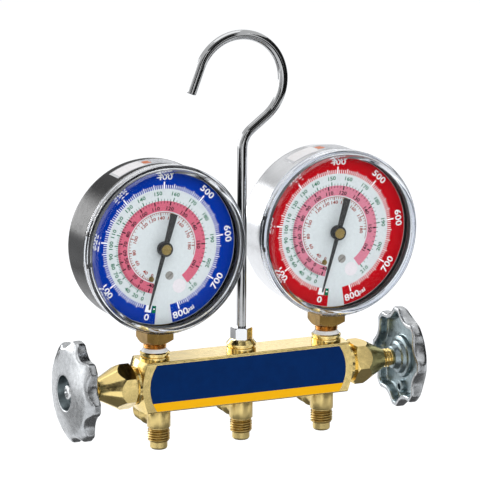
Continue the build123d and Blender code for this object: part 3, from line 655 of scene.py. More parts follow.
class MANIFOLD_OT_stems(bpy.types.Operator):
    """Model the threaded valve stems"""

    bl_idname = "manifold.stems"
    bl_label = "Valve stems"

    def execute(self, context):
        brass = polished_brass("stem_brass", 0.02)
        thread = (STEM_THREAD_R, size("stem_thread_pitch"), size("stem_thread_depth"), *STEM_THREAD)
        for side in SIDES:
            bm = bmesh.new()
            threaded(bm, STEM_SHAFT, thread, STEM_END, False, outward(side))
            add_piece(f"{side}_valve_stem", bm, f"{side}_wheel_body", [brass],
                      [f"{side}_stem"], 50)
        return {"FINISHED"}


WHEEL_R = 25.7  # over the lobes
LOBE_COUNT = 8
LOBE_DEPTH = 3.5
SCALLOP_R = 9.3  # of the hollow between two lobes
LOBE_SOFTNESS = 2.4  # how far a lobe's corner is rounded
WHEEL_TURN = {"left": -7.2, "right": 0.8}  # in degrees
DOME_TOP = 94.6
DOME_START_R = 10.2  # where the domed face starts to fall
LOBE_TIP_R = 21.3  # where it falls away more steeply
DOME_SLOPE, TIP_SLOPE = 0.19, 0.35  # of the face, and what the lobes' tips add
DOME_HOLE_R = 9.6
WEB_FACE = 90.0  # the web's height on the hollow side
WEB_R = 11.3  # where the hub's boss starts
# From the stem's seat out through the recess to the face, as (radius, height).
RECESS = ((3.9, 89.6), (7.9, 89.6), (8.3, 89.9), (8.6, 94.1), (8.8, 94.45), (9.2, DOME_TOP))
# Across the domed face, as (share of the way in, inset from the outline).
FACE_STEPS = ((1.0, 1.4), (0.75, 1.4), (0.5, 1.4), (0.3, 1.6), (0.12, 1.6))
# Over the face's edge, as (inset, drop).
FACE_EDGE = ((1.6, 0.0), (1.1, 0.05), (0.6, 0.22), (0.25, 0.5), (0.06, 0.85), (0.0, 1.3))
# Down the outer edge, round the rim and up inside to the web, as (inset from the outline, height).
WALL = ((0.0, 88.5), (0.0, 86.4), (0.15, 85.9), (0.45, 85.55), (0.9, 85.4), (1.6, 85.4), (2.1, 85.55),
        (2.45, 85.95), (2.6, 86.6), (2.75, 87.8), (2.9, 89.2), (3.2, 89.8), (4.2, WEB_FACE))
# The stepped hub on the hollow side, and the cast-in boss beside it, as (radius, height).
HUB = ((10.8, 89.8), (10.6, 88.1), (10.3, 87.8), (8.9, 87.8), (8.4, 87.5), (8.2, 86.3), (7.9, 85.95),
       (6.7, 85.8), (6.2, 85.4), (5.65, 83.3), (5.35, 83.0), (3.9, 83.0))
CAST_BOSS = ((1.65, 90.3), (3.3, 90.3), (3.3, 88.2), (3.0, 88.0), (2.0, 88.0), (1.65, 88.2))
CAST_BOSS_X = 16.0
RECESS_SHADE_R = 8.7  # the recess's darker finish, painted shade, lies within this,
RECESS_SHADE_HEIGHTS = (89.0, 94.3)  # and between these heights
INSIDE_INSET = 1.9  # the hollow side's finish starts this far in from the outline
# The head and shank of the screw in the recess, with a small dimple in the head.
WHEEL_SCREW = ((1.9, 81.0), (1.9, 89.6), (3.7, 89.62), (3.9, 89.8), (3.9, 92.0), (3.6, 92.8), (2.9, 93.3),
               (1.9, 93.4), (1.7, 92.4))


def lobed_radius(angle, inset):
    """Radius of the wheel's lobed outline at an angle, drawn in by an inset."""
    sector = TAU / LOBE_COUNT
    off_valley = angle % sector - sector / 2
    disc = WHEEL_R - inset
    centre, scallop = WHEEL_R - LOBE_DEPTH + SCALLOP_R, SCALLOP_R + inset
    reach = scallop ** 2 - (centre * math.sin(off_valley)) ** 2
    if reach <= 0:
        return disc
    hollow = centre * math.cos(off_valley) - math.sqrt(reach)
    near = max(LOBE_SOFTNESS - abs(disc - hollow), 0.0) / LOBE_SOFTNESS
    return min(disc, hollow) - near * near * LOBE_SOFTNESS / 4


def lobed_ring(inset, height):
    """The lobed outline at a height."""
    return lambda angle: (lobed_radius(angle, inset), height)


def face_ring(share, inset, drop=0.0):
    """Ring on the domed face, part of the way from the lobed outline to the recess."""
    def ring(angle):
        radius = DOME_HOLE_R * share + lobed_radius(angle, inset) * (1 - share)
        fall = max(0.0, radius - DOME_START_R) * DOME_SLOPE + max(0.0, radius - LOBE_TIP_R) * TIP_SLOPE
        return radius, DOME_TOP - fall - drop
    return ring


def web_ring(share):
    """Ring on the web, part of the way from the wall to the hub."""
    wall_inset, height = WALL[-1]
    return lambda angle: (WEB_R * share + lobed_radius(angle, wall_inset) * (1 - share), height)


def wheel_part(face):
    """Which finish a face of the handwheel has: 0 outside, 1 in the hollow side and 2, painted shade, in the
    recess.
    """
    middle = face.calc_center_median()
    radius = math.hypot(middle.x, middle.y)
    low, high = RECESS_SHADE_HEIGHTS
    if radius < RECESS_SHADE_R and low < middle.z < high:
        return 2
    inside = radius < lobed_radius(math.atan2(middle.y, middle.x), INSIDE_INSET)
    return int(middle.z < WEB_FACE + 0.1 and inside)


class MANIFOLD_OT_handwheels(bpy.types.Operator):
    """Model the hollow cast handwheels"""

    bl_idname = "manifold.handwheels"
    bl_label = "Handwheels"

    def execute(self, context):
        inside = colour("wheel_inside")
        finishes = [cast_wheel("cast_wheel", colour("wheel"), 0.2, 0.34),
                    cast_wheel("cast_wheel_inside", inside, 0.24, 0.38),
                    # The recess's finish is the hollow side's tone darkened: painted shade.
                    cast_wheel("cast_wheel_recess", shade(inside, 0.45), 0.26, 0.4)]
        rings = round_rings(RECESS) + [face_ring(*step) for step in FACE_STEPS]
        rings += [face_ring(0.0, *step) for step in FACE_EDGE] + [lobed_ring(*step) for step in WALL]
        rings += [web_ring(0.5), web_ring(1.0)] + round_rings(HUB)
        for side in SIDES:
            bm = bmesh.new()
            loft(bm, rings, 160, closed=True)
            for face in bm.faces:
                face.material_index = wheel_part(face)
            wheel_faces = set(bm.faces)
            turned(bm, CAST_BOSS, 24, True, shift(CAST_BOSS_X, 0, 0))
            for face in set(bm.faces) - wheel_faces:
                face.material_index = 1
            add_piece(f"{side}_wheel", bm, f"{side}_wheel_body", finishes,
                      [f"{side}_handwheel"], 60, outward(side) @ turn_about("Z", WHEEL_TURN[side]))
        return {"FINISHED"}


class MANIFOLD_OT_wheel_screws(bpy.types.Operator):
    """Model the recessed screws that hold the handwheels"""

    bl_idname = "manifold.wheel_screws"
    bl_label = "Wheel screws"

    def execute(self, context):
        steel = plain_metal("screw_steel", (0.62, 0.63, 0.64), 0.22)
        for side in SIDES:
            bm = bmesh.new()
            turned(bm, WHEEL_SCREW, 32)
            add_piece(f"{side}_clamp_screw", bm, f"{side}_wheel_body", [steel],
                      [f"{side}_wheel_screw"], place=outward(side))
        return {"FINISHED"}


# ---- gauges ----

# Radius, pitch, depth, and the ends above the bar's axis.
PIPE_THREAD = (5.75, 0.94, 0.5, 18.1, 21.0)
PIPE_BORE_R = 5.1


def socket_brass():
    """Dark dull brass."""
    return metal("socket_brass", colour("socket"), 0.3, 210.0, (0.8, 1.2), 380.0, (0.22, 0.36),
                 (800.0, 0.00003, 0.3))


def copper_thread():
    """Warm tone of the pipe threads."""
    finish = Finish("copper_thread", (0.62, 0.34, 0.10), 1.0, 0.22)
    finish.paint(finish.mottle(500.0, (0.50, 0.25, 0.07), (0.78, 0.46, 0.16), 3.0))
    return finish.material


def dark_paint():
    """Smooth black paint with a weak shine."""
    tone = colour("dark_case")
    finish = Finish("dark_case", tone, 0.0, 0.3, IOR=1.22)
    finish.paint(finish.mottle(80.0, shade(tone, 0.85), shade(tone, 1.2), 3.0))
    finish.vary_roughness(260.0, 0.22, 0.30)
    return finish.material


class MANIFOLD_OT_gauge_shells(bpy.types.Operator):
    """Finish the gauges' sockets, cases, gaskets and screws, with the pipe thread that shows under each"""

    bl_idname = "manifold.gauge_shells"
    bl_label = "Gauge cases and sockets"

    def execute(self, context):
        socket, thread = socket_brass(), copper_thread()
        case = {"left": dark_paint(), "right": plated("case_plating", colour("chrome"), 0.12)}
        rubber = plain_soft("gasket_rubber", (0.015, 0.015, 0.015), 0.55)
        steel = plain_metal("case_screw_steel", (0.5, 0.5, 0.5), 0.3)
        dress_both(gauge_socket=socket, crystal_gasket=rubber, case_screws=steel)
        start, end = PIPE_THREAD[-2:]
        for side in SIDES:
            dress(f"{side}_gauge_case", case[side])
            bm = bmesh.new()
            threaded(bm, [(PIPE_BORE_R, start)], PIPE_THREAD, [(PIPE_BORE_R, end)], True,
                     upright(side_sign(side) * GAUGE_X))
            add_piece(f"{side}_pipe_thread", bm, "manifold", [thread], sharp=50)
        return {"FINISHED"}


STICKER_MIDDLE = 1.5  # behind the gauge's middle plane
# Along the sticker, in degrees anticlockwise from the right. The spot lies where the worn grey ends.
STICKER_GREY_END = 97.0
STICKER_SPOT = 95.5
STICKER_SPOT_HALF_LENGTH = 2.6
STICKER_PATCH = (99.0, 119.0)
STICKER_RAGGED = 5.0  # how far the edges wander
# Across it, in mm.
STICKER_PATCH_HALF_WIDTH = 4.7
STICKER_SPOT_HALF_WIDTH = 2.6


def sticker_paper(side):
    """Bare sticker with a pale patch, a small orange spot and a worn grey end."""
    finish = Finish(f"{side}_sticker", (0.80, 0.80, 0.80), 0.0, 0.35, Specular_IOR_Level=0.3)
    place = finish.axes()
    across = finish.math("SUBTRACT", place["X"], side_sign(side) * GAUGE_X * MM)
    rise = finish.math("SUBTRACT", place["Z"], (GAUGE_RISE - HANG_HEIGHT) * MM)
    angle = finish.math("DEGREES", finish.math("ARCTAN2", rise, across))
    depth = finish.math("ABSOLUTE", finish.math("SUBTRACT", place["Y"], STICKER_MIDDLE * MM))
    wander = finish.product(finish.math("SUBTRACT", finish.noise(900.0), 0.5), STICKER_RAGGED)
    ragged = finish.math("ADD", angle, wander)
    worn = finish.ramp(finish.noise(1500.0, 2.0), 0.42, 0.55, (0.30, 0.31, 0.33), (0.60, 0.61, 0.63))
    pale = finish.mottle(500.0, (0.84, 0.80, 0.79), (0.92, 0.90, 0.90))
    patch_start, patch_end = STICKER_PATCH
    patch = finish.product(
        finish.product(finish.math("GREATER_THAN", ragged, patch_start),
                       finish.math("LESS_THAN", depth, STICKER_PATCH_HALF_WIDTH * MM)),
        finish.math("LESS_THAN", angle, patch_end))
    from_spot = finish.math("ABSOLUTE", finish.math("SUBTRACT", ragged, STICKER_SPOT))
    spot = finish.product(finish.math("LESS_THAN", from_spot, STICKER_SPOT_HALF_LENGTH),
                          finish.math("LESS_THAN", depth, STICKER_SPOT_HALF_WIDTH * MM))
    tone = finish.mix(finish.math("GREATER_THAN", angle, STICKER_GREY_END), worn, (0.62, 0.62, 0.63))
    finish.paint(finish.mix(spot, finish.mix(patch, tone, pale), (0.62, 0.13, 0.02)))
    return finish.material


class MANIFOLD_OT_stickers(bpy.types.Operator):
    """Finish the bare stickers on top of the cases"""

    bl_idname = "manifold.stickers"
    bl_label = "Case stickers"

    def execute(self, context):
        for side in SIDES:
            dress(f"{side}_case_sticker", sticker_paper(side))
        return {"FINISHED"}


# The crystal from its skirt up the outside to the window, and from the window down the inside. The points are
# (radius, height), with heights forwards from the gauge's middle plane.
CRYSTAL_OUTSIDE = (
    (40.75, 9.0), (41.3, 9.0), (41.45, 9.2), (41.45, 11.2), (41.3, 11.4), (41.3, 11.8), (41.45, 12.0),
    (41.45, 13.5), (41.55, 13.8), (41.75, 14.0), (41.75, 15.4), (41.5, 15.7), (40.9, 15.9), (40.6, 16.2),
    (40.45, 17.0), (40.2, 17.2), (40.1, 17.8), (39.95, 18.0), (39.8, 19.0), (39.5, 19.6), (39.0, 20.1),
    (38.6, 20.35))
CRYSTAL_INSIDE = (
    (37.4, 18.3), (38.0, 17.7), (38.5, 16.8), (38.9, 15.8), (39.2, 15.0), (39.3, 14.3), (40.75, 14.1))
WINDOW_STEPS = (38.2, 34.0, 28.0, 20.0, 12.0, 5.0, 0.4)  # radii of the window's rings
WINDOW_R = 38.4
WINDOW_EDGE = 20.4  # height of the window's outer face at its edge
WINDOW_RISE = 1.0  # of the dome
WINDOW_WALL = 2.0
WINDOW_FINISH_R = 38.0  # the window's own finish ends here
# Small lugs on the crystal's skirt, as (degrees clockwise from the top, height).
LUGS = ((-75, 12.2), (-96, 14.8), (88, 12.2), (176, 12.2))
LUG_R = 41.6
LUG_SIZE = (2.2, 0.9, 1.7)


def clear_crystal(name, index, tint, haze, coat=0.0):
    """Clear plastic that lets lamps through to the dial."""
    finish = Finish(name, tint, 0.0, 0.03, Transmission_Weight=1.0, IOR=index, Coat_Weight=coat,
                    Coat_Roughness=0.03)
    finish.vary_roughness(120.0, *haze)
    open_way = finish.add("BsdfTransparent", Color=(0.93, 0.94, 0.95, 1.0))
    shadow = finish.add("LightPath").outputs["Is Shadow Ray"]
    finish.mix_shaders(shadow, finish.shader.outputs["BSDF"], open_way.outputs["BSDF"],
                       finish.out.inputs["Surface"])
    return finish.material


class MANIFOLD_OT_crystals(bpy.types.Operator):
    """Model the clear crystals with their domed windows and lugs"""

    bl_idname = "manifold.crystals"
    bl_label = "Crystals"

    def execute(self, context):
        rim = clear_crystal("clear_rim", 1.33, (0.82, 0.85, 0.90), (0.02, 0.05), 0.3)
        window = clear_crystal("clear_window", 1.12, (0.98, 0.99, 1.0), (0.01, 0.02))
        plastic = plain_soft("lug_plastic", (0.02, 0.02, 0.022), 0.4)

        def dome(radius):
            return WINDOW_EDGE + WINDOW_RISE * (1 - (radius / WINDOW_R) ** 2)

        front = [(r, dome(r)) for r in WINDOW_STEPS]
        back = [(r, dome(r) - WINDOW_WALL) for r in reversed(WINDOW_STEPS[1:])]
        for side in SIDES:
            bm = bmesh.new()
            loft(bm, round_rings((*CRYSTAL_OUTSIDE, *front)), 160, caps=(False, True))
            loft(bm, round_rings((*back, *CRYSTAL_INSIDE)), 160, caps=(True, False))
            bmesh.ops.bridge_loops(bm, edges=[e for e in bm.edges if e.is_boundary])
            bmesh.ops.recalc_face_normals(bm, faces=bm.faces)
            for face in bm.faces:
                face.material_index = int(face.calc_center_median().xy.length < WINDOW_FINISH_R)
            add_piece(f"{side}_clear_crystal", bm, "manifold", [rim, window],
                      [f"{side}_crystal"], 55, on_gauge(side))
            bm = bmesh.new()
            for angle, height in LUGS:
                box_at(bm, LUG_SIZE, turn_about("Z", -angle) @ shift(0, LUG_R, height), 0.2)
            add_piece(f"{side}_crystal_lugs", bm, "manifold", [plastic],
                      place=on_gauge(side))
        return {"FINISHED"}


# ---- dials ----

DIAL_FRONT = 8.3
LAYER = 0.05  # each layer of printing stands this much in front of the last
# Angles are in degrees clockwise from the top. Bands are (inner radius, outer radius, start, end).
COLOUR_RING = (29.0, 38.4, -174.2, 171.5)
PINK_BAND = (18.0, 23.0, -167, 144)
INNER_LINE = (17.2, 17.45, -164, 107)
ZERO_PATCH = (28.9, 32.5, -174.0, -170.3)
ZERO_WINDOW = (28.9, 32.4, -169.6, -163.6)
ZERO_DASH = (30.2, 30.8, -173.0, -171.3)
ROUND_PATCH_R = 3.5
ROUND_PATCH_AT = (9.2, -19.8, 0)
# The outer scale's marks are (inner radius, outer radius, width).
PRESSURES = {0: -165.0, 100: -123.1, 200: -80.8, 300: -38.7, 400: 2.4, 500: 43.2, 600: 83.5, 700: 123.2,
             800: 163.6}
PRESSURE_MARK = (28.95, 30.9, 0.34)
FIFTH_MARK = (28.95, 31.5, 0.46)
HUNDRED_MARK = (28.95, 32.6, 0.72)
PRESSURE_NUMBERS_R = 35.1
ZERO_NUMBER = -166.5
UNIT_HEIGHT, UNIT_PLACE = 2.2, 154.3

# An inner scale has its places, the marks between and at its numbers, and its numbers' height and radius.
Scale = namedtuple("Scale", "places between at height radius")
TEMPERATURE_SCALE = Scale(
    {0: -157.1, 20: -148.0, 40: -137.2, 60: -124.0, 70: -115.6, 80: -105.8, 90: -95.0, 100: -83.5, 110: -70.9,
     120: -55.8, 130: -40.3, 140: -23.8, 150: -4.5, 160: 15.5, 170: 37.4, 180: 59.7, 190: 84.6, 200: 111.8,
     210: 141.6},
    (23.0, 24.0, 0.26), (23.0, 24.9, 0.5), 1.85, 26.65)
BAND_SCALE = Scale(
    {-40: -162.0, 0: -145.8, 20: -132.8, 40: -115.2, 50: -104.8, 60: -93.2, 70: -80.5, 80: -65.5, 90: -49.1,
     100: -29.9, 110: -9.6, 120: 12.2, 130: 36.5, 140: 61.5, 150: 90.0, 160: 120.4},
    (21.8, 22.9, 0.3), (20.9, 22.9, 0.62), 1.75, 19.3)
INNER_SCALE = Scale(
    {0: -159.3, 40: -143.0, 60: -117.0, 80: -95.4, 100: -70.7, 120: -39.1, 130: -20.2, 140: -1.8, 150: 19.0,
     160: 42.5, 170: 67.3, 180: 91.1},
    (16.2, 17.3, 0.26), (15.8, 17.3, 0.5), 1.6, 14.5)


def spokes(bm, angles, mark, lift):
    """Radial marks at angles on the dial."""
    inner, outer, width = mark
    thick = size("print_thickness")
    for angle in angles:
        box_at(bm, (width, outer - inner, thick),
               turn_about("Z", -angle) @ shift(0, (inner + outer) / 2, lift + thick / 2))


def band(bm, shape, lift):
    """Flat band between two radii and two angles."""
    inner, outer, start, end = shape
    thick = size("print_thickness")
    verts = bmesh.ops.create_grid(bm, x_segments=1, y_segments=1, size=0.5)["verts"]
    at_start = turn_about("Z", -start) @ shift(0, (inner + outer) / 2, lift + thick / 2)
    on_edge = turn_about("Y", 90) @ Matrix.Diagonal((thick, outer - inner, 1, 1))
    bmesh.ops.transform(bm, matrix=at_start @ on_edge, verts=verts)
    section = verts + list({e for v in verts for e in v.link_edges})
    section += list({f for v in verts for f in v.link_faces})
    bmesh.ops.spin(bm, geom=section, axis=(0, 0, 1), cent=(0, 0, 0), angle=-math.radians(end - start),
                   steps=max(8, int(abs(end - start) / 3)))


def steps_between(places, parts):
    """Angles that share out each gap between numbered places."""
    angles = [places[key] for key in sorted(places)]
    found = []
    for a, b in zip(angles, angles[1:]):
        found += [a + (b - a) * step / parts for step in range(parts)]
    return found + [angles[-1]]


def numerals(bm, entries, height, radius, lift):
    """Characters set round the dial. Those in the lower half stand with their feet outwards."""
    cap_height = 0.69  # the built-in font's capitals stand this share of its size
    weight, width = 0.03, 1.18
    upper_half = 96  # degrees either way from the top
    for text, angle in entries:
        curve = bpy.data.curves.new("numeral", "FONT")
        curve.body = text
        curve.size = height / cap_height
        curve.align_x = "CENTER"
        curve.align_y = "CENTER"
        curve.resolution_u = 2
        curve.extrude = size("print_thickness") / 2
        curve.offset = weight * height
        holder = bpy.data.objects.new("numeral", curve)
        bpy.context.scene.collection.objects.link(holder)
        bpy.context.view_layer.update()
        mesh = bpy.data.meshes.new_from_object(holder.evaluated_get(bpy.context.evaluated_depsgraph_get()))
        flip = turn_about("Z", 180 if abs(angle) > upper_half else 0)
        mesh.transform(turn_about("Z", -angle) @ shift(0, radius, lift + curve.extrude) @ flip
                       @ Matrix.Diagonal((width, 1, 1, 1)))
        bm.from_mesh(mesh)
        bpy.data.objects.remove(holder)
        bpy.data.curves.remove(curve)
        bpy.data.meshes.remove(mesh)


def numbers_of(places):
    """Each number's text and place."""
    return [(str(number), angle) for number, angle in places.items()]


def print_scale(bm, scale, lift):
    """Marks and numbers of an inner scale."""
    spokes(bm, steps_between(scale.places, 5), scale.between, lift)
    spokes(bm, scale.places.values(), scale.at, lift)
    numerals(bm, numbers_of(scale.places), scale.height, scale.radius, lift)


def print_pressures(bm, lift):
    """Marks, numbers and unit of the outer scale."""
    fine = list(enumerate(steps_between(PRESSURES, 20)))
    spokes(bm, [angle for step, angle in fine if step % 5 and step > 1], PRESSURE_MARK, lift)
    spokes(bm, [angle for step, angle in fine if step % 5 == 0 and step % 20], FIFTH_MARK, lift)
    spokes(bm, list(PRESSURES.values())[1:], HUNDRED_MARK, lift)
    numbers = numbers_of(PRESSURES)[1:] + [("0", ZERO_NUMBER)]
    numerals(bm, numbers, size("numeral_height"), PRESSURE_NUMBERS_R, lift)
    numerals(bm, [("psi", UNIT_PLACE)], UNIT_HEIGHT, PRESSURE_NUMBERS_R, lift)


def print_inner(bm, lift):
    """The inner scale with the thin line that its marks stand on."""
    band(bm, INNER_LINE, lift)
    print_scale(bm, INNER_SCALE, lift)


def print_zero_window(bm, lift):
    """Pale window at zero, with a dash on the green patch beside it."""
    band(bm, ZERO_WINDOW, lift)
    band(bm, ZERO_DASH, lift + LAYER)


def print_round_patch(bm, lift):
    """Thin round patch."""
    turned(bm, [(ROUND_PATCH_R, lift), (ROUND_PATCH_R, lift + 0.04)], 32, place=shift(*ROUND_PATCH_AT))


class MANIFOLD_OT_dials(bpy.types.Operator):
    """Print the dials: rings, marks and plain numbers"""

    bl_idname = "manifold.dials"
    bl_label = "Dials"

    def execute(self, context):
        face = printed("dial_white", colour("dial"), 0.5)
        white = printed("print_white", (0.88, 0.88, 0.88))
        black = printed("print_black", (0.012, 0.012, 0.014))
        green = printed("print_green", (0.004, 0.13, 0.06))
        rust = printed("print_rust", (0.28, 0.03, 0.012))
        lilac = printed("print_lilac", (0.72, 0.68, 0.70))
        dress_both(dial=face)
        for side, grade, slot in zip(SIDES, ("low", "high"), ("blue_dial", "red_dial")):
            ring = printed(f"{side}_ring", colour(f"{grade}_ring"))
            pink = printed(f"{side}_pink", colour(f"{grade}_band"))
            for name, ink, layer, draw in (
                    ("ring", ring, 0, lambda bm, lift: band(bm, COLOUR_RING, lift)),
                    ("band", pink, 0, lambda bm, lift: band(bm, PINK_BAND, lift)),
                    ("outer_marks", white, 1, print_pressures),
                    ("temperatures", green, 0, lambda bm, lift: print_scale(bm, TEMPERATURE_SCALE, lift)),
                    ("band_marks", black, 1, lambda bm, lift: print_scale(bm, BAND_SCALE, lift)),
                    ("inner_marks", rust, 0, print_inner),
                    ("zero_patch", green, 2, lambda bm, lift: band(bm, ZERO_PATCH, lift)),
                    ("zero_window", white, 2, print_zero_window),
                    ("round_patch", lilac, 0, print_round_patch)):
                bm = bmesh.new()
                draw(bm, DIAL_FRONT + layer * LAYER)
                add_piece(f"{side}_{name}", bm, "manifold", [ink], sharp=30, place=on_gauge(side))
        return {"FINISHED"}


# ---- pointers and movements ----

POINTER_REST = 164.0  # degrees anticlockwise from the top
BLADE_HEIGHT, BLADE_THICKNESS = 12.1, 0.5
# The ends of the blade and of its tail, as (distance from the pin, width).
BLADE = ((2.9, 2.2), (30.5, 0.7))
BLADE_TAIL = ((-17.5, 3.6), (-2.9, 2.6))
# The cup round the pin, as (radius, height).
POINTER_HUB = ((1.3, 10.4), (3.3, 10.4), (3.6, 10.7), (3.6, 13.8), (3.4, 14.1), (2.55, 14.1), (2.55, 13.0),
               (1.3, 13.0))


def tapered(bm, start, end):
    """Flat blade between two (distance, width) ends."""
    verts = box_at(bm, (1, 1, BLADE_THICKNESS), shift(0, 0, BLADE_HEIGHT + BLADE_THICKNESS / 2))
    for v in verts:
        distance, width = end if v.co.y > 0 else start
        v.co.x, v.co.y = math.copysign(width / 2, v.co.x), distance
    bmesh.ops.recalc_face_normals(bm, faces=list({f for v in verts for f in v.link_faces}))


class MANIFOLD_OT_pointers(bpy.types.Operator):
    """Model the pointers, and finish their pins and the screws seen on the dials"""

    bl_idname = "manifold.pointers"
    bl_label = "Pointers"

    def execute(self, context):
        black = plain_soft("black_pointer", (0.01, 0.01, 0.01), 0.45, 0.2)
        brass = plain_metal("small_brass", (0.27, 0.20, 0.075), 0.35)
        grey = plain_metal("slot_steel", (0.30, 0.29, 0.27), 0.4)
        for side in SIDES:
            bm = bmesh.new()
            tapered(bm, *BLADE)
            tapered(bm, *BLADE_TAIL)
            turned(bm, POINTER_HUB, 48, True)
            add_piece(f"{side}_blade", bm, f"{side}_pointer_body", [black],
                      [f"{side}_pointer"], place=on_gauge(side) @ turn_about("Z", POINTER_REST))
        dress_both(pointer_pin=brass, dial_screws=brass, calibration_screw=grey)
        return {"FINISHED"}


class MANIFOLD_OT_movements(bpy.types.Operator):
    """Finish the pieces inside the gauges"""

    bl_idname = "manifold.movements"
    bl_label = "Gauge movements"

    def execute(self, context):
        brass = plain_metal("movement_brass", (0.68, 0.48, 0.20), 0.3)
        bronze = plain_metal("tube_bronze", (0.55, 0.33, 0.15), 0.32)
        spring = plain_metal("spring_bronze", (0.60, 0.36, 0.16), 0.25)
        dress_both(pinion_arbor=brass, sector_gear=brass, link=brass, movement_frame=brass, tube_tip=brass,
                   bourdon_tube=bronze, hairspring=spring)
        return {"FINISHED"}


# ---- stage ----

# The camera's bearing, height angle and roll are in degrees, and its target and distance in mm.
CAMERA_BEARING, CAMERA_HEIGHT, CAMERA_ROLL = -24.78, 12.47, 0.30
CAMERA_TARGET = (-1.0, 0, -99.72)
CAMERA_DISTANCE = 1822
CAMERA_LENS = 278.3

FLOOR_HEIGHT = CAD_BOX[0][2] - 0.09
FLOOR_GLOW = 0.42  # the paper shows this much of its own light
CARD_HEIGHT = FLOOR_HEIGHT + 0.003  # of the cards that lie on the paper
MIDDLE = (0, 0, -0.1)  # the lamps point at it

# Cards that only the metal and the crystals reflect, in metres, each with its grey level.
# Standing: bearing from the front in degrees, distance, lowest and highest, width, level.
STANDING_CARDS = (
    (76, 0.48, -0.21, 0.30, 0.85, 0.02),
    (8, 0.50, -0.26, 0.16, 0.16, 0.02),
    (25, 0.55, -0.265, -0.09, 0.42, 0.01),
    (-14, 0.90, 0.02, 0.75, 1.30, 0.04),
    (-22, 0.52, -0.26, 0.30, 0.05, 2.2),
    (-39, 0.55, -0.26, 0.30, 0.07, 0.03),
    (-66, 0.55, -0.26, 0.30, 0.10, 0.15),
    (-100, 0.60, -0.18, 0.10, 0.05, 0.05),
    (-118, 0.70, -0.28, 0.40, 0.45, 2.2),
    (155, 0.60, -0.285, -0.10, 1.10, 0.05),
    (153, 1.00, 0.02, 0.115, 0.80, 1.6),
    (178, 0.80, 0.05, 0.32, 0.60, 0.50),
    (205, 0.70, -0.12, 0.13, 0.26, 8.0),
)
# Level: lowest and highest x, lowest and highest y, height, level.
LEVEL_CARDS = (
    (-0.16, 0.16, -0.12, 0.10, CARD_HEIGHT, 0.15),
    (-0.02, 0.21, -0.42, -0.16, CARD_HEIGHT, 0.35),
    (0.245, 0.45, -0.60, -0.20, CARD_HEIGHT, 1.0),
    (0.16, 0.50, -0.12, 0.30, CARD_HEIGHT, 0.55),
    (-0.50, -0.18, 0.15, 0.50, CARD_HEIGHT, 0.45),
    (-0.45, 0.25, -0.80, -0.30, 0.55, 0.05),
    (-0.30, 0.30, 0.25, 0.45, 0.55, 2.2),
)
# Each lamp's name, place, extent and power.
LAMPS = (
    ("key", (-0.5, -1.1, 0.75), (0.7, 0.7), 4.8),
    ("fill", (0.9, -0.9, 0.25), (0.5, 0.9), 1.3),
    ("top", (0.0, 0.1, 1.1), (0.9, 0.6), 2.2),
)


def view_axes():
    """Right, up and back directions of the camera."""
    across, rise, roll = (math.radians(angle) for angle in (CAMERA_BEARING, CAMERA_HEIGHT, CAMERA_ROLL))
    back = Vector((math.sin(across) * math.cos(rise), -math.cos(across) * math.cos(rise), math.sin(rise)))
    level = Vector((math.cos(across), math.sin(across), 0))
    steep = back.cross(level)
    right = math.cos(roll) * level + math.sin(roll) * steep
    up = math.cos(roll) * steep - math.sin(roll) * level
    return right, up, back


def add_camera(scene):
    """Camera with a long lens."""
    data = bpy.data.cameras.new("camera")
    data.sensor_width = 36.0
    data.lens = CAMERA_LENS
    data.clip_end = 50.0
    axes = view_axes()
    camera = bpy.data.objects.new("camera", data)
    place = Matrix.Translation((Vector(CAMERA_TARGET) + axes[2] * CAMERA_DISTANCE) * MM)
    camera.matrix_world = place @ Matrix(axes).transposed().to_4x4()
    scene.collection.objects.link(camera)
    scene.camera = camera


def flat_sheet(name, place, reach=0.5):
    """Square sheet that reaches as far to every side of its own middle."""
    bm = bmesh.new()
    bmesh.ops.create_grid(bm, x_segments=1, y_segments=1, size=reach, matrix=place)
    return add_object(name, bm)


def add_card(place, level):
    """Grey card."""
    finish = Finish(f"card_{int(level * 100)}", (0, 0, 0), 0.0, 1.0, Specular_IOR_Level=0.0,
                    Emission_Strength=level)
    finish.link(finish.mottle(2.0, (0.94,) * 3, (1.0,) * 3), finish.shader.inputs["Emission Color"])
    card = flat_sheet("card", place)
    card.data.materials.append(finish.material)
    card.visible_camera = card.visible_diffuse = card.visible_shadow = card.visible_transmission = False


def add_cards():
    """All the cards."""
    for bearing, distance, low, high, width, level in STANDING_CARDS:
        place = turn_about("Z", bearing) @ shift(0, -distance, (low + high) / 2) @ turn_about("X", 90)
        add_card(place @ Matrix.Diagonal((width, high - low, 1, 1)), level)
    for left, right, near, far, height, level in LEVEL_CARDS:
        place = shift((left + right) / 2, (near + far) / 2, height)
        add_card(place @ Matrix.Diagonal((right - left, far - near, 1, 1)), level)


def add_floor():
    """Pale paper under the object."""
    paper = Finish("floor_paper", (0.80, 0.80, 0.80), 0.0, 0.9, Specular_IOR_Level=0.0,
                   Emission_Color=(1, 1, 1, 1))
    paper.vary_roughness(3.0, 0.85, 0.95)
    paper.link(paper.product(paper.seen(), FLOOR_GLOW), paper.shader.inputs["Emission Strength"])
    floor = flat_sheet("floor", shift(0, 0, FLOOR_HEIGHT), 6.0)
    floor.data.materials.append(paper.material)


def light_backdrop(scene):
    """Soft light on the object, in front of a white backdrop."""
    scene.world = bpy.data.worlds.new("studio")
    scene.world.use_nodes = True
    nodes = Nodes(scene.world.node_tree)
    out = nodes.add("OutputWorld")
    soft = nodes.add("Background", Color=(0.95, 0.97, 1.0, 1), Strength=0.74)
    white = nodes.add("Background", Color=(1, 1, 1, 1), Strength=1.0)
    nodes.mix_shaders(nodes.seen(), soft.outputs[0], white.outputs[0], out.inputs["Surface"])


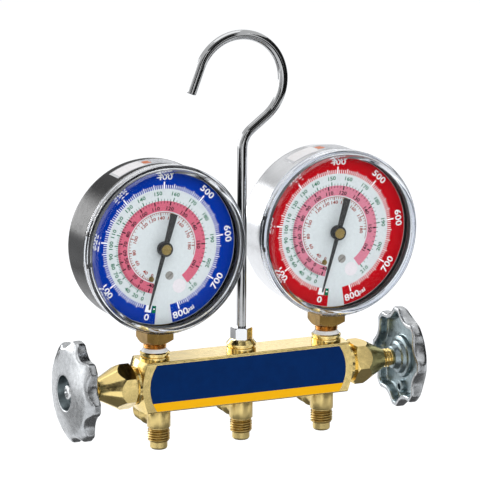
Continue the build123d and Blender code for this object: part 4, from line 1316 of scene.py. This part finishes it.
def add_lamp(name, place, extent, power):
    """Soft rectangular lamp."""
    light = bpy.data.lights.new(name, "AREA")
    light.shape = "RECTANGLE"
    light.size, light.size_y = extent
    light.energy = power
    lamp = bpy.data.objects.new(name, light)
    lamp.location = place
    lamp.rotation_euler = (Vector(MIDDLE) - Vector(place)).to_track_quat("-Z", "Y").to_euler()
    bpy.context.scene.collection.objects.link(lamp)


class MANIFOLD_OT_stage(bpy.types.Operator):
    """Set up the camera, the pale floor, the backdrop light, the reflected cards and the lamps"""

    bl_idname = "manifold.stage"
    bl_label = "Stage"

    def execute(self, context):
        add_camera(context.scene)
        add_floor()
        light_backdrop(context.scene)
        add_cards()
        for lamp in LAMPS:
            add_lamp(*lamp)
        context.scene.view_settings.view_transform = "Standard"
        return {"FINISHED"}


# ---- panel and registration ----

OPERATORS = (
    MANIFOLD_OT_stage,
    MANIFOLD_OT_body,
    MANIFOLD_OT_label,
    MANIFOLD_OT_ports,
    MANIFOLD_OT_hook,
    MANIFOLD_OT_stems,
    MANIFOLD_OT_handwheels,
    MANIFOLD_OT_wheel_screws,
    MANIFOLD_OT_gauge_shells,
    MANIFOLD_OT_stickers,
    MANIFOLD_OT_crystals,
    MANIFOLD_OT_dials,
    MANIFOLD_OT_pointers,
    MANIFOLD_OT_movements,
)


class MANIFOLD_PT_panel(bpy.types.Panel):
    """Manifold tools in the sidebar"""

    bl_idname = "MANIFOLD_PT_panel"
    bl_label = "Manifold gauge set"
    bl_space_type = "VIEW_3D"
    bl_region_type = "UI"
    bl_category = "Manifold"

    def draw(self, context):
        column = self.layout.column()
        for operator in OPERATORS:
            column.operator(operator.bl_idname)
        for group in (context.scene.manifold_colours, context.scene.manifold_sizes):
            for name in group.bl_rna.properties.keys():
                if name not in ("rna_type", "name"):
                    column.prop(group, name)


CLASSES = (ManifoldColours, ManifoldSizes, *OPERATORS, MANIFOLD_PT_panel)


def register():
    for cls in CLASSES:
        bpy.utils.register_class(cls)
    bpy.types.Scene.manifold_colours = bpy.props.PointerProperty(type=ManifoldColours)
    bpy.types.Scene.manifold_sizes = bpy.props.PointerProperty(type=ManifoldSizes)


def unregister():
    del bpy.types.Scene.manifold_sizes
    del bpy.types.Scene.manifold_colours
    for cls in reversed(CLASSES):
        bpy.utils.unregister_class(cls)


def main():
    """Build the whole set."""
    register()
    for operator in OPERATORS:
        group, name = operator.bl_idname.split(".")
        getattr(getattr(bpy.ops, group), name)()


if __name__ == "__main__":
    main()
